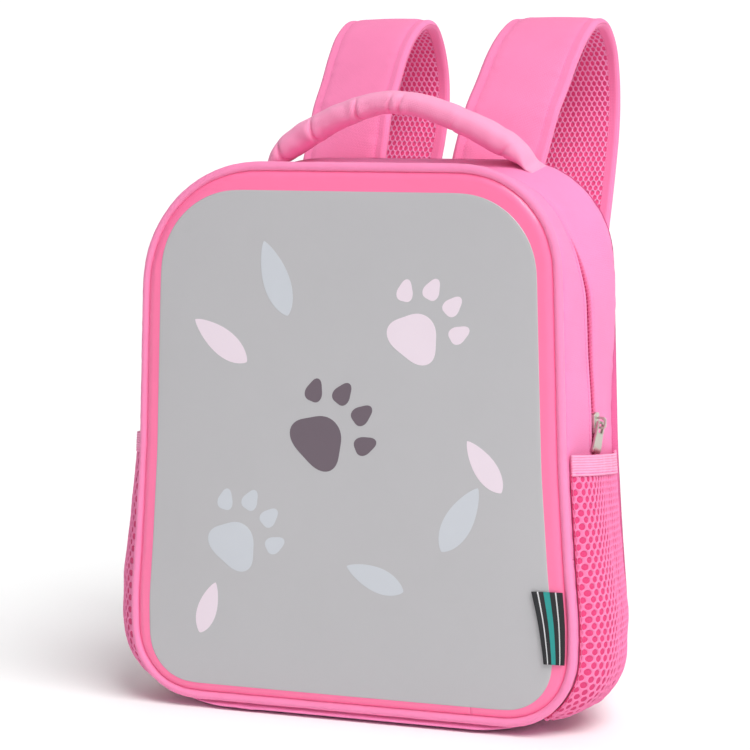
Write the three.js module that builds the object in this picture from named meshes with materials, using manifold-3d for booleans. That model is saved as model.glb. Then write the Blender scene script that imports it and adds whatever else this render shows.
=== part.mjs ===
import * as THREE from 'three';
import Module from 'manifold-3d';
import { mergeVertices } from 'three/addons/utils/BufferGeometryUtils.js';

// A child's backpack standing on its base: a hollow zipped bag with a printed front panel and a
// piped front edge, a mesh pocket on each side, a carrying handle and two padded shoulder straps
// that stand up behind it. Millimetres, +Z up. The front faces -Y and the origin is on the floor
// under the middle of the bag.

const wasm = await Module();
wasm.setup();

// Sizes of the bag body, seen from the front
const bagHeight = 315;
const topWidth = 248;
const mouthWidth = 258;
const pocketLineWidth = 259.5;
const seamWidth = 265;
const baseWidth = 271;
const topCornerRight = 58;
const topCornerLeft = 73;
const baseCorner = 40;
const footWidth = 150;
const bellyHeight = 65;
const seamHeight = 100;

// Depth, cloth and seams
const bagDepth = 95;
const baseSag = 5;
const clothWall = 1.6;
const clearance = 0.3;
const pipingRadius = 2.6;

// Front panel and its print
const panelWall = 2.4;
const panelDome = 6;
const printWall = 0.8;
const printSideMargin = 13;
const printCornerEase = 12;
const printDrop = 3;

// Back panel
const backPadding = 6.5;
const backEdgeRound = 9;

// Zip
const zipPlace = 0;
const coilWidth = 3.8;
const tapeWidth = 16;
const tapeWall = 0.8;
const coilSink = 0.3;
const tapeEase = 0.4;

// Slider and puller
const sliderHeight = 170.5;
const sliderLength = 11;
const sliderWidth = 8.4;
const sliderThick = 2.2;
const sliderSeat = 0.6;
const sliderTailWidth = 5.7;
const sliderShoulder = 1.65;
const sliderBevel = 0.3;
const bailLength = 6.8;
const bailReach = 3.9;
const bailWidth = 1.6;
const bailWire = 1.3;
const bailCorner = 2.2;
const bailInnerCorner = 1.1;
const bailRoot = 0.5;
const pivotStandOff = 2.2;
const pullerRest = 9.5;
const pullerTilt = 14;
const pullerTwist = 12;
const pullerLength = 18;
const pullerTopWidth = 7.6;
const pullerTipWidth = 9;
const pullerWall = 1.5;
const pullerArm = 1.5;
const pullerEye = 4.9;
const pullerCorner = 2;

// Side pockets
const pocketSeat = 0.7;
const pocketSeamEase = 1.6;
const pocketBulge = 14;
const pocketWall = 1.5;
const pocketLineHeight = 141;
const mouthHeight = 153;
const bandWall = 1.8;

// Handle
const handleSpan = 172;
const handleRise = 33.5;
const handlePlace = 33;
const handleLean = 8;
const handleSeatGap = 0.5;
const handleWidth = 19;
const handleThick = 13;
const handleTabWidth = 24;
const handleTabWall = 3;
const handleSquareness = 0.75;

// Shoulder straps
const strapWidth = 56;
const strapThick = 8;
const strapEdgeWall = 3.2;
const strapHem = 7;
const strapShoulder = 0.86;
const strapRootHeight = 267;
const strapTopHeight = 395.5;
const strapReach = 134;
const strapGap = 48.5;
const strapSplay = 20;
const strapTwist = 11;

// Webbing and adjusters under the straps
const webbingWidth = 25;
const webbingWall = 1.5;
const webbingFoot = 24;
const webbingOut = 96;
const webbingGap = 1;
const adjusterWidth = 33;
const adjusterLength = 15;
const adjusterThick = 5;
const adjusterPlace = 0.16;
const adjusterCorner = 2;
const slotSideEase = 1;
const slotFaceEase = 0.6;

// Label folded into the seam
const labelWidth = 17;
const labelHeight = 40;
const labelWall = 0.8;
const labelFoot = 43;
const labelLean = 5.5;

// Colours of the finishes
const colours = {
  cloth: 0xff8fc4, piping: 0xf07fae, frontBand: 0xff7fb4, print: 0xc1bfc2, mesh: 0xfb74ac,
  webbing: 0xff8fc4, elastic: 0xffa0cf, metal: 0xc8c4bc, label: 0x22222a,
};

// Least radius of an outline corner that is moved inwards, and least step between two depths
const leastRadius = 1;
const leastStep = 1;

function finish(colour, roughness = 0.8, metalness = 0) {
  return new THREE.MeshStandardMaterial({ color: colour, roughness, metalness });
}

// Outline of the bag

const frontSeam = -bagDepth / 2;
const backSeam = bagDepth / 2;
const outlineBase = baseSag;

// One row for each corner up the right side: half width, height, corner radius and arc steps.
const sideCorners = [
  { name: 'foot', half: footWidth / 2, height: outlineBase, radius: 0, steps: 0 },
  { name: 'base', half: baseWidth / 2, height: outlineBase, radius: baseCorner, steps: 6 },
  { name: 'belly', half: baseWidth / 2, height: bellyHeight, radius: 0, steps: 0 },
  { name: 'seam', half: seamWidth / 2, height: seamHeight, radius: 0, steps: 0 },
  { name: 'pocketLine', half: pocketLineWidth / 2, height: pocketLineHeight, radius: 0, steps: 0 },
  { name: 'mouth', half: mouthWidth / 2, height: mouthHeight, radius: 0, steps: 0 },
  { name: 'top', half: topWidth / 2, height: bagHeight, radius: topCornerRight, steps: 9 },
];

// Where a line through p along d meets a line through q along e. Lines in one row meet at q.
function crossing(p, d, q, e) {
  const across = d.x * e.y - d.y * e.x;
  if (Math.abs(across) < 1e-9) {
    return q.clone();
  }
  const t = ((q.x - p.x) * e.y - (q.y - p.y) * e.x) / across;
  return p.clone().addScaledVector(d, t);
}

// The outline moved inwards by inset, as points that keep their order and number.
function bagOutline(inset, topLeftRadius = topCornerLeft) {
  const right = sideCorners.map((c) => ({ ...c, at: new THREE.Vector2(c.half, c.height), side: 'Right' }));
  const left = [...sideCorners].reverse().map((c) => ({
    ...c,
    radius: c.name === 'top' ? topLeftRadius : c.radius,
    at: new THREE.Vector2(-c.half, c.height),
    side: 'Left',
  }));
  const corners = [...right, ...left];
  const count = corners.length;
  const edges = corners.map((c, i) => {
    const along = corners[(i + 1) % count].at.clone().sub(c.at).normalize();
    const inward = new THREE.Vector2(-along.y, along.x);
    return { from: c.at.clone().addScaledVector(inward, inset), along, inward };
  });
  const points = [];
  corners.forEach((c, i) => {
    const before = edges[(i + count - 1) % count];
    const after = edges[i];
    const tip = crossing(before.from, before.along, after.from, after.along);
    if (c.radius === 0) {
      points.push({ at: tip, mark: c.name + c.side });
      return;
    }
    const radius = Math.max(c.radius - inset, leastRadius);
    const turn = Math.acos(before.along.dot(after.along));
    const start = tip.clone().addScaledVector(before.along, -radius * Math.tan(turn / 2));
    const centre = start.clone().addScaledVector(before.inward, radius);
    for (let k = 0; k <= c.steps; k += 1) {
      const arm = before.inward.clone().multiplyScalar(-radius);
      arm.rotateAround(new THREE.Vector2(), (turn * k) / c.steps);
      points.push({ at: centre.clone().add(arm), mark: `${c.name}${c.side}${k}` });
    }
  });
  return points;
}

const outlineMarks = bagOutline(0).map((p) => p.mark);
const plainOutline = bagOutline(0).map((p) => p.at);

function indexOf(mark) {
  return outlineMarks.indexOf(mark);
}

// Indexes along the outline from one mark to another, in the outline's own order.
function run(fromMark, toMark) {
  const count = outlineMarks.length;
  const list = [indexOf(fromMark)];
  while (list.at(-1) !== indexOf(toMark)) {
    list.push((list.at(-1) + 1) % count);
  }
  return list;
}

const wholeLoop = outlineMarks.map((_, i) => i);
const overTheTop = run('seamRight', 'seamLeft');
const underTheBase = run('seamLeft', 'seamRight');

function outlinePoint(index, inset, y) {
  const { at } = bagOutline(inset)[index];
  return new THREE.Vector3(at.x, y, at.y);
}

function outwardAt(index, inset) {
  return outlinePoint(index, inset - 1, 0).sub(outlinePoint(index, inset, 0)).normalize();
}

// Half width of the outline's right side at a height, moved inwards by insetAt(index).
function sideHalfWidth(height, insetAt) {
  const points = run('baseRight0', 'topRight9').map((index) => outlinePoint(index, insetAt(index), 0));
  const upper = points.findIndex((p) => p.z >= height);
  const a = points[upper - 1];
  const b = points[upper];
  return a.x + ((b.x - a.x) * (height - a.z)) / (b.z - a.z);
}

// Height of the gusset's top at a distance from the middle and a depth, raised by a lift.
function topHeight(x, y, lift) {
  const points = run('topRight0', 'topLeft9')
    .map((index) => outlinePoint(index, gussetInset(y, index) - lift, 0));
  const after = points.findIndex((p) => p.x <= x);
  const a = points[after - 1];
  const b = points[after];
  return a.z + ((b.z - a.z) * (x - a.x)) / (b.x - a.x);
}

// Building closed bodies

function bodyFrom(positions, triangles) {
  const geometry = new THREE.BufferGeometry();
  const numbers = positions.flatMap((p) => p.toArray());
  geometry.setAttribute('position', new THREE.Float32BufferAttribute(numbers, 3));
  geometry.setIndex(triangles.flat());
  let volume = 0;
  triangles.forEach(([a, b, c]) => {
    volume += positions[a].dot(new THREE.Vector3().crossVectors(positions[b], positions[c]));
  });
  if (volume < 0) {
    geometry.setIndex(triangles.flatMap(([a, b, c]) => [a, c, b]));
  }
  geometry.computeVertexNormals();
  return geometry;
}

// Joins rings of equal count one to the next. With loop, the last ring meets the first. Otherwise
// each end is closed by a fan to its pole, or by triangles across the flat contour of the section.
function ringBody(rings, { loop = false, poles = null, contour = null }) {
  const count = rings[0].length;
  const positions = rings.flat().map((p) => p.clone());
  const triangles = [];
  const pairs = loop ? rings.length : rings.length - 1;
  for (let i = 0; i < pairs; i += 1) {
    const next = (i + 1) % rings.length;
    for (let j = 0; j < count; j += 1) {
      const k = (j + 1) % count;
      const a = i * count + j;
      const b = i * count + k;
      const c = next * count + k;
      const d = next * count + j;
      triangles.push([a, b, c], [a, c, d]);
    }
  }
  const last = (rings.length - 1) * count;
  if (poles) {
    positions.push(poles[0].clone(), poles[1].clone());
    const start = positions.length - 2;
    for (let j = 0; j < count; j += 1) {
      const k = (j + 1) % count;
      triangles.push([start, k, j], [start + 1, last + j, last + k]);
    }
  }
  if (contour) {
    THREE.ShapeUtils.triangulateShape(contour, []).forEach(([a, b, c]) => {
      const anticlockwise = THREE.ShapeUtils.area([contour[a], contour[b], contour[c]]) > 0;
      const same = anticlockwise === THREE.ShapeUtils.area(contour) > 0;
      const [p, q, r] = same ? [a, b, c] : [a, c, b];
      triangles.push([r, q, p], [last + p, last + q, last + r]);
    });
  }
  return bodyFrom(positions, triangles);
}

// A section of [y, inset] corners carried along part of the outline, its ends lowered by endDrop.
function outlineBand(sectionAt, indexes, endDrop = 0) {
  const rings = indexes.map((index, place) => {
    const atEnd = place === 0 || place === indexes.length - 1;
    const drop = new THREE.Vector3(0, 0, atEnd ? -endDrop : 0);
    return sectionAt(index).map(([y, inset]) => outlinePoint(index, inset, y).add(drop));
  });
  const contour = sectionAt(indexes[0]).map(([y, inset]) => new THREE.Vector2(y, inset));
  return ringBody(rings, { contour });
}

function centroid(ring) {
  return ring.reduce((sum, p) => sum.add(p), new THREE.Vector3()).divideScalar(ring.length);
}

// A section of [across, through] corners carried along a table of stations. Each station has its
// middle, the direction of its width, its tangent, and the scale of its width and thickness.
function sweptStrip(sectionAt, stations) {
  const rings = stations.map((station, i) => {
    const before = stations[Math.max(i - 1, 0)].middle;
    const after = stations[Math.min(i + 1, stations.length - 1)].middle;
    const tangent = after.clone().sub(before).normalize();
    const width = station.width.clone().addScaledVector(tangent, -station.width.dot(tangent)).normalize();
    const through = new THREE.Vector3().crossVectors(tangent, width);
    return sectionAt(station).map(([across, deep]) => station.middle.clone()
      .addScaledVector(width, across).addScaledVector(through, deep));
  });
  return ringBody(rings, { poles: [centroid(rings[0]), centroid(rings.at(-1))] });
}

function toSolid(geometry) {
  const bare = geometry.clone();
  bare.deleteAttribute('normal');
  bare.deleteAttribute('uv');
  const merged = mergeVertices(bare, 1e-4);
  return new wasm.Manifold(new wasm.Mesh({
    numProp: 3,
    vertProperties: new Float32Array(merged.attributes.position.array),
    triVerts: new Uint32Array(merged.index.array),
  }));
}

function fromSolid(solid) {
  const mesh = solid.getMesh();
  const geometry = new THREE.BufferGeometry();
  geometry.setAttribute('position', new THREE.Float32BufferAttribute(mesh.vertProperties, 3));
  geometry.setIndex(Array.from(mesh.triVerts));
  geometry.computeVertexNormals();
  return geometry;
}

const backpack = new THREE.Group();

function addPiece(name, geometry, material, at = null, turn = null) {
  const mesh = new THREE.Mesh(geometry, material);
  mesh.name = name;
  if (at) {
    mesh.position.copy(at);
  }
  if (turn) {
    mesh.rotation.copy(turn);
  }
  backpack.add(mesh);
}

// Gusset: the cloth wall round the bag, in two zipped strips and a base

const gussetFront = frontSeam + pipingRadius + clearance;
const gussetBack = backSeam - clearance;
const zipFrontEdge = zipPlace - coilWidth / 2 - clearance;
const zipBackEdge = zipPlace + coilWidth / 2 + clearance;

// How far the gusset stands proud of the outline, from seam to seam: on the bag's sides, over its
// top, where the cloth sinks between the seams, down at its waist, where the pockets' elastic draws
// the back seam in, and under its base, where it sags to the floor.
const gussetProfile = [
  { depth: 0, side: -1.2, top: -1.5, waist: -1.2, base: 0 },
  { depth: 0.05, side: -0.2, top: -1.6, waist: -0.2, base: 3.9 },
  { depth: 0.12, side: 0.1, top: -2.2, waist: 0.1, base: baseSag },
  { depth: 0.28, side: 0.2, top: -4.4, waist: 0.2, base: baseSag },
  { depth: 0.5, side: 1.2, top: -7.5, waist: 0.6, base: baseSag },
  { depth: 0.75, side: 1.4, top: -3.8, waist: -0.8, base: baseSag },
  { depth: 0.92, side: 1.8, top: -0.4, waist: -2.6, base: baseSag },
  { depth: 1, side: 1, top: 0, waist: -3.2, base: baseSag },
];
const sinkRange = { from: 238, to: 282 };
const waistRange = { from: 165, to: 245 };
const sagRange = { from: 118, to: footWidth / 2 };
const sagHeight = 45;

function gussetInset(y, index) {
  const share = THREE.MathUtils.clamp((y - gussetFront) / (gussetBack - gussetFront), 0, 1);
  const upper = Math.max(gussetProfile.findIndex((row) => row.depth >= share), 1);
  const a = gussetProfile[upper - 1];
  const b = gussetProfile[upper];
  const t = (share - a.depth) / (b.depth - a.depth);
  const proud = (column) => a[column] + (b[column] - a[column]) * t;
  const at = plainOutline[index];
  const sink = THREE.MathUtils.smoothstep(at.y, sinkRange.from, sinkRange.to);
  const under = at.y < sagHeight ? 1 : 0;
  const sag = under * (1 - THREE.MathUtils.smoothstep(Math.abs(at.x), sagRange.to, sagRange.from));
  const drawn = 1 - THREE.MathUtils.smoothstep(at.y, waistRange.from, waistRange.to);
  const side = THREE.MathUtils.lerp(proud('side'), proud('waist'), drawn);
  const wall = THREE.MathUtils.lerp(side, proud('top'), sink);
  return -THREE.MathUtils.lerp(wall, proud('base'), sag);
}

// Closed section of the cloth wall between two depths, at one point of the outline.
function gussetSection(fromY, toY) {
  const inner = gussetProfile
    .map((row) => gussetFront + row.depth * (gussetBack - gussetFront))
    .filter((y) => y > fromY + leastStep && y < toY - leastStep);
  const depths = [fromY, ...inner, toY];
  return (index) => [
    ...depths.map((y) => [y, gussetInset(y, index)]),
    ...[...depths].reverse().map((y) => [y, gussetInset(y, index) + clothWall]),
  ];
}

const cloth = finish(colours.cloth, 0.85);

addPiece('gusset_front', outlineBand(gussetSection(gussetFront, zipFrontEdge), overTheTop), cloth);
addPiece('gusset_back', outlineBand(gussetSection(zipBackEdge, gussetBack), overTheTop), cloth);
addPiece('base_gusset', outlineBand(gussetSection(gussetFront, gussetBack), underTheBase, clearance), cloth);

// Zip: a tape behind the gusset's edges with the closed coil standing in the gap between them

function zipSection(index) {
  const face = gussetInset(zipPlace, index);
  const tape = face + clothWall + clearance + tapeEase;
  const coil = face + coilSink;
  return [
    [zipPlace - tapeWidth / 2, tape],
    [zipPlace - coilWidth / 2, tape],
    [zipPlace - coilWidth / 2, coil],
    [zipPlace + coilWidth / 2, coil],
    [zipPlace + coilWidth / 2, tape],
    [zipPlace + tapeWidth / 2, tape],
    [zipPlace + tapeWidth / 2, tape + tapeWall],
    [zipPlace - tapeWidth / 2, tape + tapeWall],
  ];
}

addPiece('zip_chain', outlineBand(zipSection, overTheTop), finish(colours.mesh, 0.5));

// Piping round the front edge

const pipingSides = 8;

function pipingTube() {
  const rings = wholeLoop.map((index) => {
    const middle = outlinePoint(index, pipingRadius, frontSeam);
    const outward = outwardAt(index, pipingRadius);
    return Array.from({ length: pipingSides }, (_, side) => {
      const angle = ((side + 0.5) * 2 * Math.PI) / pipingSides;
      return middle.clone().addScaledVector(outward, pipingRadius * Math.cos(angle))
        .add(new THREE.Vector3(0, pipingRadius * Math.sin(angle), 0));
    });
  });
  return ringBody(rings, { loop: true });
}

addPiece('front_piping', pipingTube(), finish(colours.piping, 0.55));

// Front panel and print: sheets that share one shallow dome

const panelEdge = 2 * pipingRadius + clearance;
const middleHeight = (bagHeight + outlineBase) / 2;
const domePower = 3;

function domeAt(x, z) {
  const across = Math.abs(x) / (baseWidth / 2);
  const up = Math.abs(z - middleHeight) / (bagHeight / 2);
  return panelDome * (1 - across ** domePower) * (1 - up ** domePower);
}

// Share of the way from the middle of the print to its edge, for each ring inside it.
const printShares = [0.25, 0.5, 0.72, 0.88, 1];

const printOutline = bagOutline(printSideMargin, topCornerLeft - printCornerEase)
  .map((p) => new THREE.Vector2(p.at.x, p.at.y - printDrop));
const panelOutline = bagOutline(panelEdge).map((p) => p.at);
const printMiddle = new THREE.Vector2(0, middleHeight - printDrop);

function onDome(p, lift) {
  return new THREE.Vector3(p.x, frontSeam - domeAt(p.x, p.y) - lift, p.y);
}

function domedSheet(outlines, lift, wall) {
  const front = outlines.map((outline) => outline.map((p) => onDome(p, lift + wall)));
  const back = [...outlines].reverse().map((outline) => outline.map((p) => onDome(p, lift)));
  const poles = [onDome(printMiddle, lift + wall), onDome(printMiddle, lift)];
  return ringBody([...front, ...back], { poles });
}

const printRings = printShares.map((share) => printOutline
  .map((p) => p.clone().sub(printMiddle).multiplyScalar(share).add(printMiddle)));
const panelLift = -panelWall / 2;
const printLift = panelLift + panelWall + clearance;
const frontPanel = domedSheet([...printRings, panelOutline], panelLift, panelWall);
const printPanel = domedSheet(printRings, printLift, printWall);

addPiece('front_panel', frontPanel, finish(colours.frontBand, 0.35));
addPiece('print_panel', printPanel, finish(colours.print, 0.45));

// Back panel: a padded board with a rounded edge

const backFace = backSeam + backPadding;
// Rounded edge of the padding: inset and height as shares of the edge's radius.
const backEdge = [
  { inset: 0.06, high: 0.22 },
  { inset: 0.38, high: 0.72 },
  { inset: 1, high: 1 },
];

function backPanel() {
  const ring = (inset, y) => wholeLoop
    .map((index) => outlinePoint(index, gussetInset(gussetBack, index) + inset, y));
  const rounded = backEdge.map((row) => ring(row.inset * backEdgeRound, backSeam + row.high * backPadding));
  const poles = [new THREE.Vector3(0, backSeam, middleHeight), new THREE.Vector3(0, backFace, middleHeight)];
  return ringBody([ring(0, backSeam), ...rounded], { poles });
}

addPiece('back_panel', backPanel(), cloth);

// Side pockets: a pouch wall that stands off the gusset, topped by an elastic band

// Stand-off across the pocket, from its front seam to its back seam, of the pouch and of its mouth.
const pocketAcross = [
  { depth: 0, pouch: 0, mouth: 0 },
  { depth: 0.05, pouch: 0.42, mouth: 0.3 },
  { depth: 0.13, pouch: 0.84, mouth: 0.56 },
  { depth: 0.24, pouch: 1, mouth: 0.66 },
  { depth: 0.38, pouch: 0.92, mouth: 0.66 },
  { depth: 0.5, pouch: 0.82, mouth: 0.64 },
  { depth: 0.62, pouch: 0.6, mouth: 0.56 },
  { depth: 0.74, pouch: 0.35, mouth: 0.36 },
  { depth: 0.87, pouch: 0.14, mouth: 0.16 },
  { depth: 1, pouch: 0, mouth: 0 },
];
const pocketFront = gussetFront + pocketSeamEase;
const pocketBack = gussetBack - pocketSeamEase;

// Fullness of the pocket at each point of the outline that it passes, and its share of the form of
// its mouth.
const pocketUp = [
  { mark: 'baseRight2', full: 0.02, mouth: 0 },
  { mark: 'baseRight3', full: 0.36, mouth: 0 },
  { mark: 'baseRight4', full: 0.68, mouth: 0 },
  { mark: 'baseRight5', full: 0.9, mouth: 0 },
  { mark: 'baseRight6', full: 1, mouth: 0 },
  { mark: 'bellyRight', full: 1.02, mouth: 0 },
  { mark: 'seamRight', full: 1, mouth: 0.3 },
  { mark: 'pocketLineRight', full: 1, mouth: 1 },
];
const bandUp = [
  { mark: 'pocketLineRight', full: 1, mouth: 1 },
  { mark: 'mouthRight', full: 0.97, mouth: 1 },
];

// The pouch wall's section at one height: [y, stand-off] corners round its outside and inside.
function pouchSection(level, wall) {
  const inside = pocketAcross.map((row) => new THREE.Vector2(
    pocketFront + row.depth * (pocketBack - pocketFront),
    pocketSeat + THREE.MathUtils.lerp(row.pouch, row.mouth, level.mouth) * level.full * pocketBulge,
  ));
  const outside = inside.map((p, i) => {
    const before = inside[Math.max(i - 1, 0)];
    const after = inside[Math.min(i + 1, inside.length - 1)];
    const along = after.clone().sub(before).normalize();
    return new THREE.Vector2(p.x - along.y * wall, p.y + along.x * wall);
  });
  outside[0].set(pocketFront, pocketSeat + wall);
  outside[outside.length - 1].set(pocketBack, pocketSeat + wall);
  return [...outside, ...inside.reverse()];
}

function pouch(table, wall, side, lift) {
  const rings = table.map((row, place) => {
    const index = indexOf(row.mark);
    const rise = place === 0 ? lift : 0;
    return pouchSection(row, wall).map((p) => {
      const inset = gussetInset(p.x, index);
      const at = outlinePoint(index, inset, p.x).addScaledVector(outwardAt(index, inset), p.y);
      return new THREE.Vector3(at.x * side, at.y, at.z + rise);
    });
  });
  const contour = pouchSection(table.at(-1), wall);
  return ringBody(rings, { contour });
}

// Straps

// Path of a padded strap: how far back, up and outwards, its twist, and its width, as shares.
const strapPath = [
  { back: 0, up: 0, out: 0, twist: 0, wide: 0.94 },
  { back: 0, up: 0.1, out: 0, twist: 0, wide: 1 },
  { back: 0.012, up: 0.21, out: 0, twist: 0.2, wide: 1 },
  { back: 0.055, up: 0.345, out: 0.02, twist: 0.6, wide: 1 },
  { back: 0.12, up: 0.46, out: 0.06, twist: 0.9, wide: 1 },
  { back: 0.195, up: 0.586, out: 0.12, twist: 1, wide: 1 },
  { back: 0.31, up: 0.71, out: 0.18, twist: 1, wide: 1 },
  { back: 0.43, up: 0.84, out: 0.24, twist: 0.9, wide: 1 },
  { back: 0.56, up: 0.94, out: 0.3, twist: 0.6, wide: 1 },
  { back: 0.7, up: 0.995, out: 0.33, twist: 0.4, wide: 1 },
  { back: 0.83, up: 0.985, out: 0.36, twist: 0.3, wide: 1 },
  { back: 0.935, up: 0.89, out: 0.39, twist: 0.2, wide: 1 },
  { back: 0.99, up: 0.75, out: 0.4, twist: 0, wide: 1 },
  { back: 1, up: 0.61, out: 0.41, twist: 0, wide: 1 },
  { back: 0.97, up: 0.47, out: 0.44, twist: 0, wide: 1 },
  { back: 0.92, up: 0.34, out: 0.47, twist: 0, wide: 1 },
  { back: 0.847, up: 0.19, out: 0.52, twist: 0, wide: 1 },
  { back: 0.746, up: 0.02, out: 0.6, twist: 0, wide: 1 },
  { back: 0.615, up: -0.21, out: 0.7, twist: 0, wide: 1 },
  { back: 0.484, up: -0.43, out: 0.82, twist: 0, wide: 0.98 },
  { back: 0.41, up: -0.55, out: 0.9, twist: 0, wide: 0.8 },
  { back: 0.37, up: -0.615, out: 0.95, twist: 0, wide: 0.52 },
];
const strapRise = strapTopHeight - strapRootHeight;
const strapSteps = 40;
const strapRootDepth = backFace + clearance + strapThick / 2;

function strapPoint(row, side) {
  return new THREE.Vector3(
    side * (strapGap + row.out * strapSplay),
    strapRootDepth + row.back * strapReach,
    strapRootHeight + row.up * strapRise,
  );
}

function strapStations(side) {
  const points = strapPath.map((row) => strapPoint(row, side));
  const curve = new THREE.CatmullRomCurve3(points, false, 'centripetal');
  return Array.from({ length: strapSteps + 1 }, (_, i) => {
    const place = (i / strapSteps) * (strapPath.length - 1);
    const lower = Math.min(Math.floor(place), strapPath.length - 2);
    const a = strapPath[lower];
    const b = strapPath[lower + 1];
    const t = place - lower;
    const twist = THREE.MathUtils.degToRad((a.twist + (b.twist - a.twist) * t) * strapTwist);
    return {
      middle: curve.getPoint(i / strapSteps),
      width: new THREE.Vector3(Math.cos(twist), side * Math.sin(twist), 0),
      wide: a.wide + (b.wide - a.wide) * t,
    };
  });
}

function strapSection(station) {
  const half = (strapWidth / 2) * station.wide;
  const hem = half - strapHem;
  const edge = strapEdgeWall / 2;
  const crown = strapThick / 2;
  const shoulder = crown * strapShoulder;
  return [
    [-half, -edge], [-hem, -shoulder], [0, -crown], [hem, -shoulder], [half, -edge],
    [half, edge], [hem, shoulder], [0, crown], [-hem, shoulder], [-half, edge],
  ];
}

// Webbing: from the padded strap's end down to the foot of the back panel.
const webbingPath = [
  { back: 1, up: 1, out: 0 },
  { back: 0.72, up: 0.82, out: 0.16 },
  { back: 0.42, up: 0.57, out: 0.4 },
  { back: 0.17, up: 0.31, out: 0.68 },
  { back: 0.05, up: 0.16, out: 0.86 },
  { back: 0, up: 0.08, out: 0.95 },
  { back: 0, up: 0, out: 1 },
];
const webbingSteps = 14;
const webbingRootDepth = backFace + clearance + webbingWall / 2;

function webbingCurve(side) {
  const stations = strapStations(side);
  const end = stations.at(-1).middle;
  const leaving = end.clone().sub(stations.at(-2).middle).normalize();
  const top = end.clone().addScaledVector(leaving, webbingGap);
  return new THREE.CatmullRomCurve3(webbingPath.map((row) => new THREE.Vector3(
    top.x + row.out * (side * webbingOut - top.x),
    webbingRootDepth + row.back * (top.y - webbingRootDepth),
    webbingFoot + row.up * (top.z - webbingFoot),
  )), false, 'centripetal');
}

function webbingStations(side) {
  const curve = webbingCurve(side);
  return Array.from({ length: webbingSteps + 1 }, (_, i) => ({
    middle: curve.getPoint(i / webbingSteps),
    width: new THREE.Vector3(1, 0, 0),
  }));
}

function webbingSection() {
  const half = webbingWidth / 2;
  const deep = webbingWall / 2;
  return [[-half, -deep], [half, -deep], [half, deep], [-half, deep]];
}

// Adjuster: a flat frame that the webbing passes through.
function adjuster() {
  const slotWide = webbingWidth + 2 * slotSideEase;
  const slotDeep = webbingWall + 2 * slotFaceEase;
  const outer = roundedRectangle(adjusterWidth, adjusterThick, adjusterCorner);
  const settings = { depth: adjusterLength, bevelEnabled: false, curveSegments: 3 };
  const frame = new THREE.ExtrudeGeometry(outer, settings);
  frame.translate(0, 0, -adjusterLength / 2);
  const slot = new THREE.BoxGeometry(slotWide, slotDeep, 2 * adjusterLength);
  return fromSolid(toSolid(frame).subtract(toSolid(slot)));
}

function roundedRectangle(width, height, radius) {
  const shape = new THREE.Shape();
  const x = width / 2 - radius;
  const y = height / 2 - radius;
  shape.absarc(x, y, radius, 0, Math.PI / 2);
  shape.absarc(-x, y, radius, Math.PI / 2, Math.PI);
  shape.absarc(-x, -y, radius, Math.PI, 1.5 * Math.PI);
  shape.absarc(x, -y, radius, 1.5 * Math.PI, 2 * Math.PI);
  return shape;
}

const mesh = finish(colours.mesh, 0.8);
const elastic = finish(colours.elastic, 0.8);
const webbing = finish(colours.webbing, 0.8);
const moulding = finish(colours.piping, 0.4);

for (const [sideName, side] of [['right', 1], ['left', -1]]) {
  addPiece(`pocket_${sideName}`, pouch(pocketUp, pocketWall, side, 0), mesh);
  addPiece(`pocket_band_${sideName}`, pouch(bandUp, bandWall, side, clearance), elastic);
  addPiece(`strap_${sideName}`, sweptStrip(strapSection, strapStations(side)), cloth);
  addPiece(`webbing_${sideName}`, sweptStrip(webbingSection, webbingStations(side)), webbing);
  const curve = webbingCurve(side);
  const along = curve.getTangent(adjusterPlace).negate();
  const across = new THREE.Vector3(1, 0, 0).addScaledVector(along, -along.x).normalize();
  const through = new THREE.Vector3().crossVectors(along, across);
  const axes = new THREE.Matrix4().makeBasis(across, through, along);
  const turn = new THREE.Euler().setFromRotationMatrix(axes);
  addPiece(`strap_adjuster_${sideName}`, adjuster(), moulding, curve.getPoint(adjusterPlace), turn);
}

// Handle

// Half of the handle, from its tab to its middle: place along, rise, width and thickness, as shares.
const handleRows = [
  { along: 1, rise: 0, wide: 1.26, thick: 0, lies: true },
  { along: 0.93, rise: 0, wide: 1.26, thick: 0, lies: true },
  { along: 0.885, rise: 0.09, wide: 1.24, thick: 0.7, lies: false },
  { along: 0.82, rise: 0.2, wide: 1.2, thick: 1.02, lies: false },
  { along: 0.7, rise: 0.37, wide: 1.12, thick: 1.12, lies: false },
  { along: 0.52, rise: 0.61, wide: 1.04, thick: 1.06, lies: false },
  { along: 0.33, rise: 0.82, wide: 0.98, thick: 1, lies: false },
  { along: 0.15, rise: 0.96, wide: 0.95, thick: 0.96, lies: false },
  { along: 0, rise: 1, wide: 0.95, thick: 0.92, lies: false },
];
const handleSides = 10;

// Slope of a tab over its width, and the height of its middle where it just clears the gusset.
function tabSeat(x) {
  const reach = [-1, -0.5, 0, 0.5, 1].map((share) => (share * handleTabWidth) / 2);
  const heights = reach.map((step) => topHeight(x, handlePlace + step, handleSeatGap + handleTabWall / 2));
  const slope = (heights.at(-1) - heights[0]) / handleTabWidth;
  return { slope, height: Math.max(...heights.map((height, i) => height - slope * reach[i])) };
}

function handleStation(row, side) {
  const x = side * row.along * (handleSpan / 2);
  const seat = tabSeat(x);
  const crest = bagHeight + handleRise;
  const flat = row.lies ? 1 : 0;
  return {
    middle: new THREE.Vector3(
      x,
      handlePlace - handleLean * row.rise,
      seat.height + row.rise * (crest - seat.height),
    ),
    width: new THREE.Vector3(0, 1, seat.slope * flat),
    wide: THREE.MathUtils.lerp(handleWidth * row.wide, handleTabWidth, flat),
    thick: THREE.MathUtils.lerp(Math.max(handleThick * row.thick, handleTabWall), handleTabWall, flat),
  };
}

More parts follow.
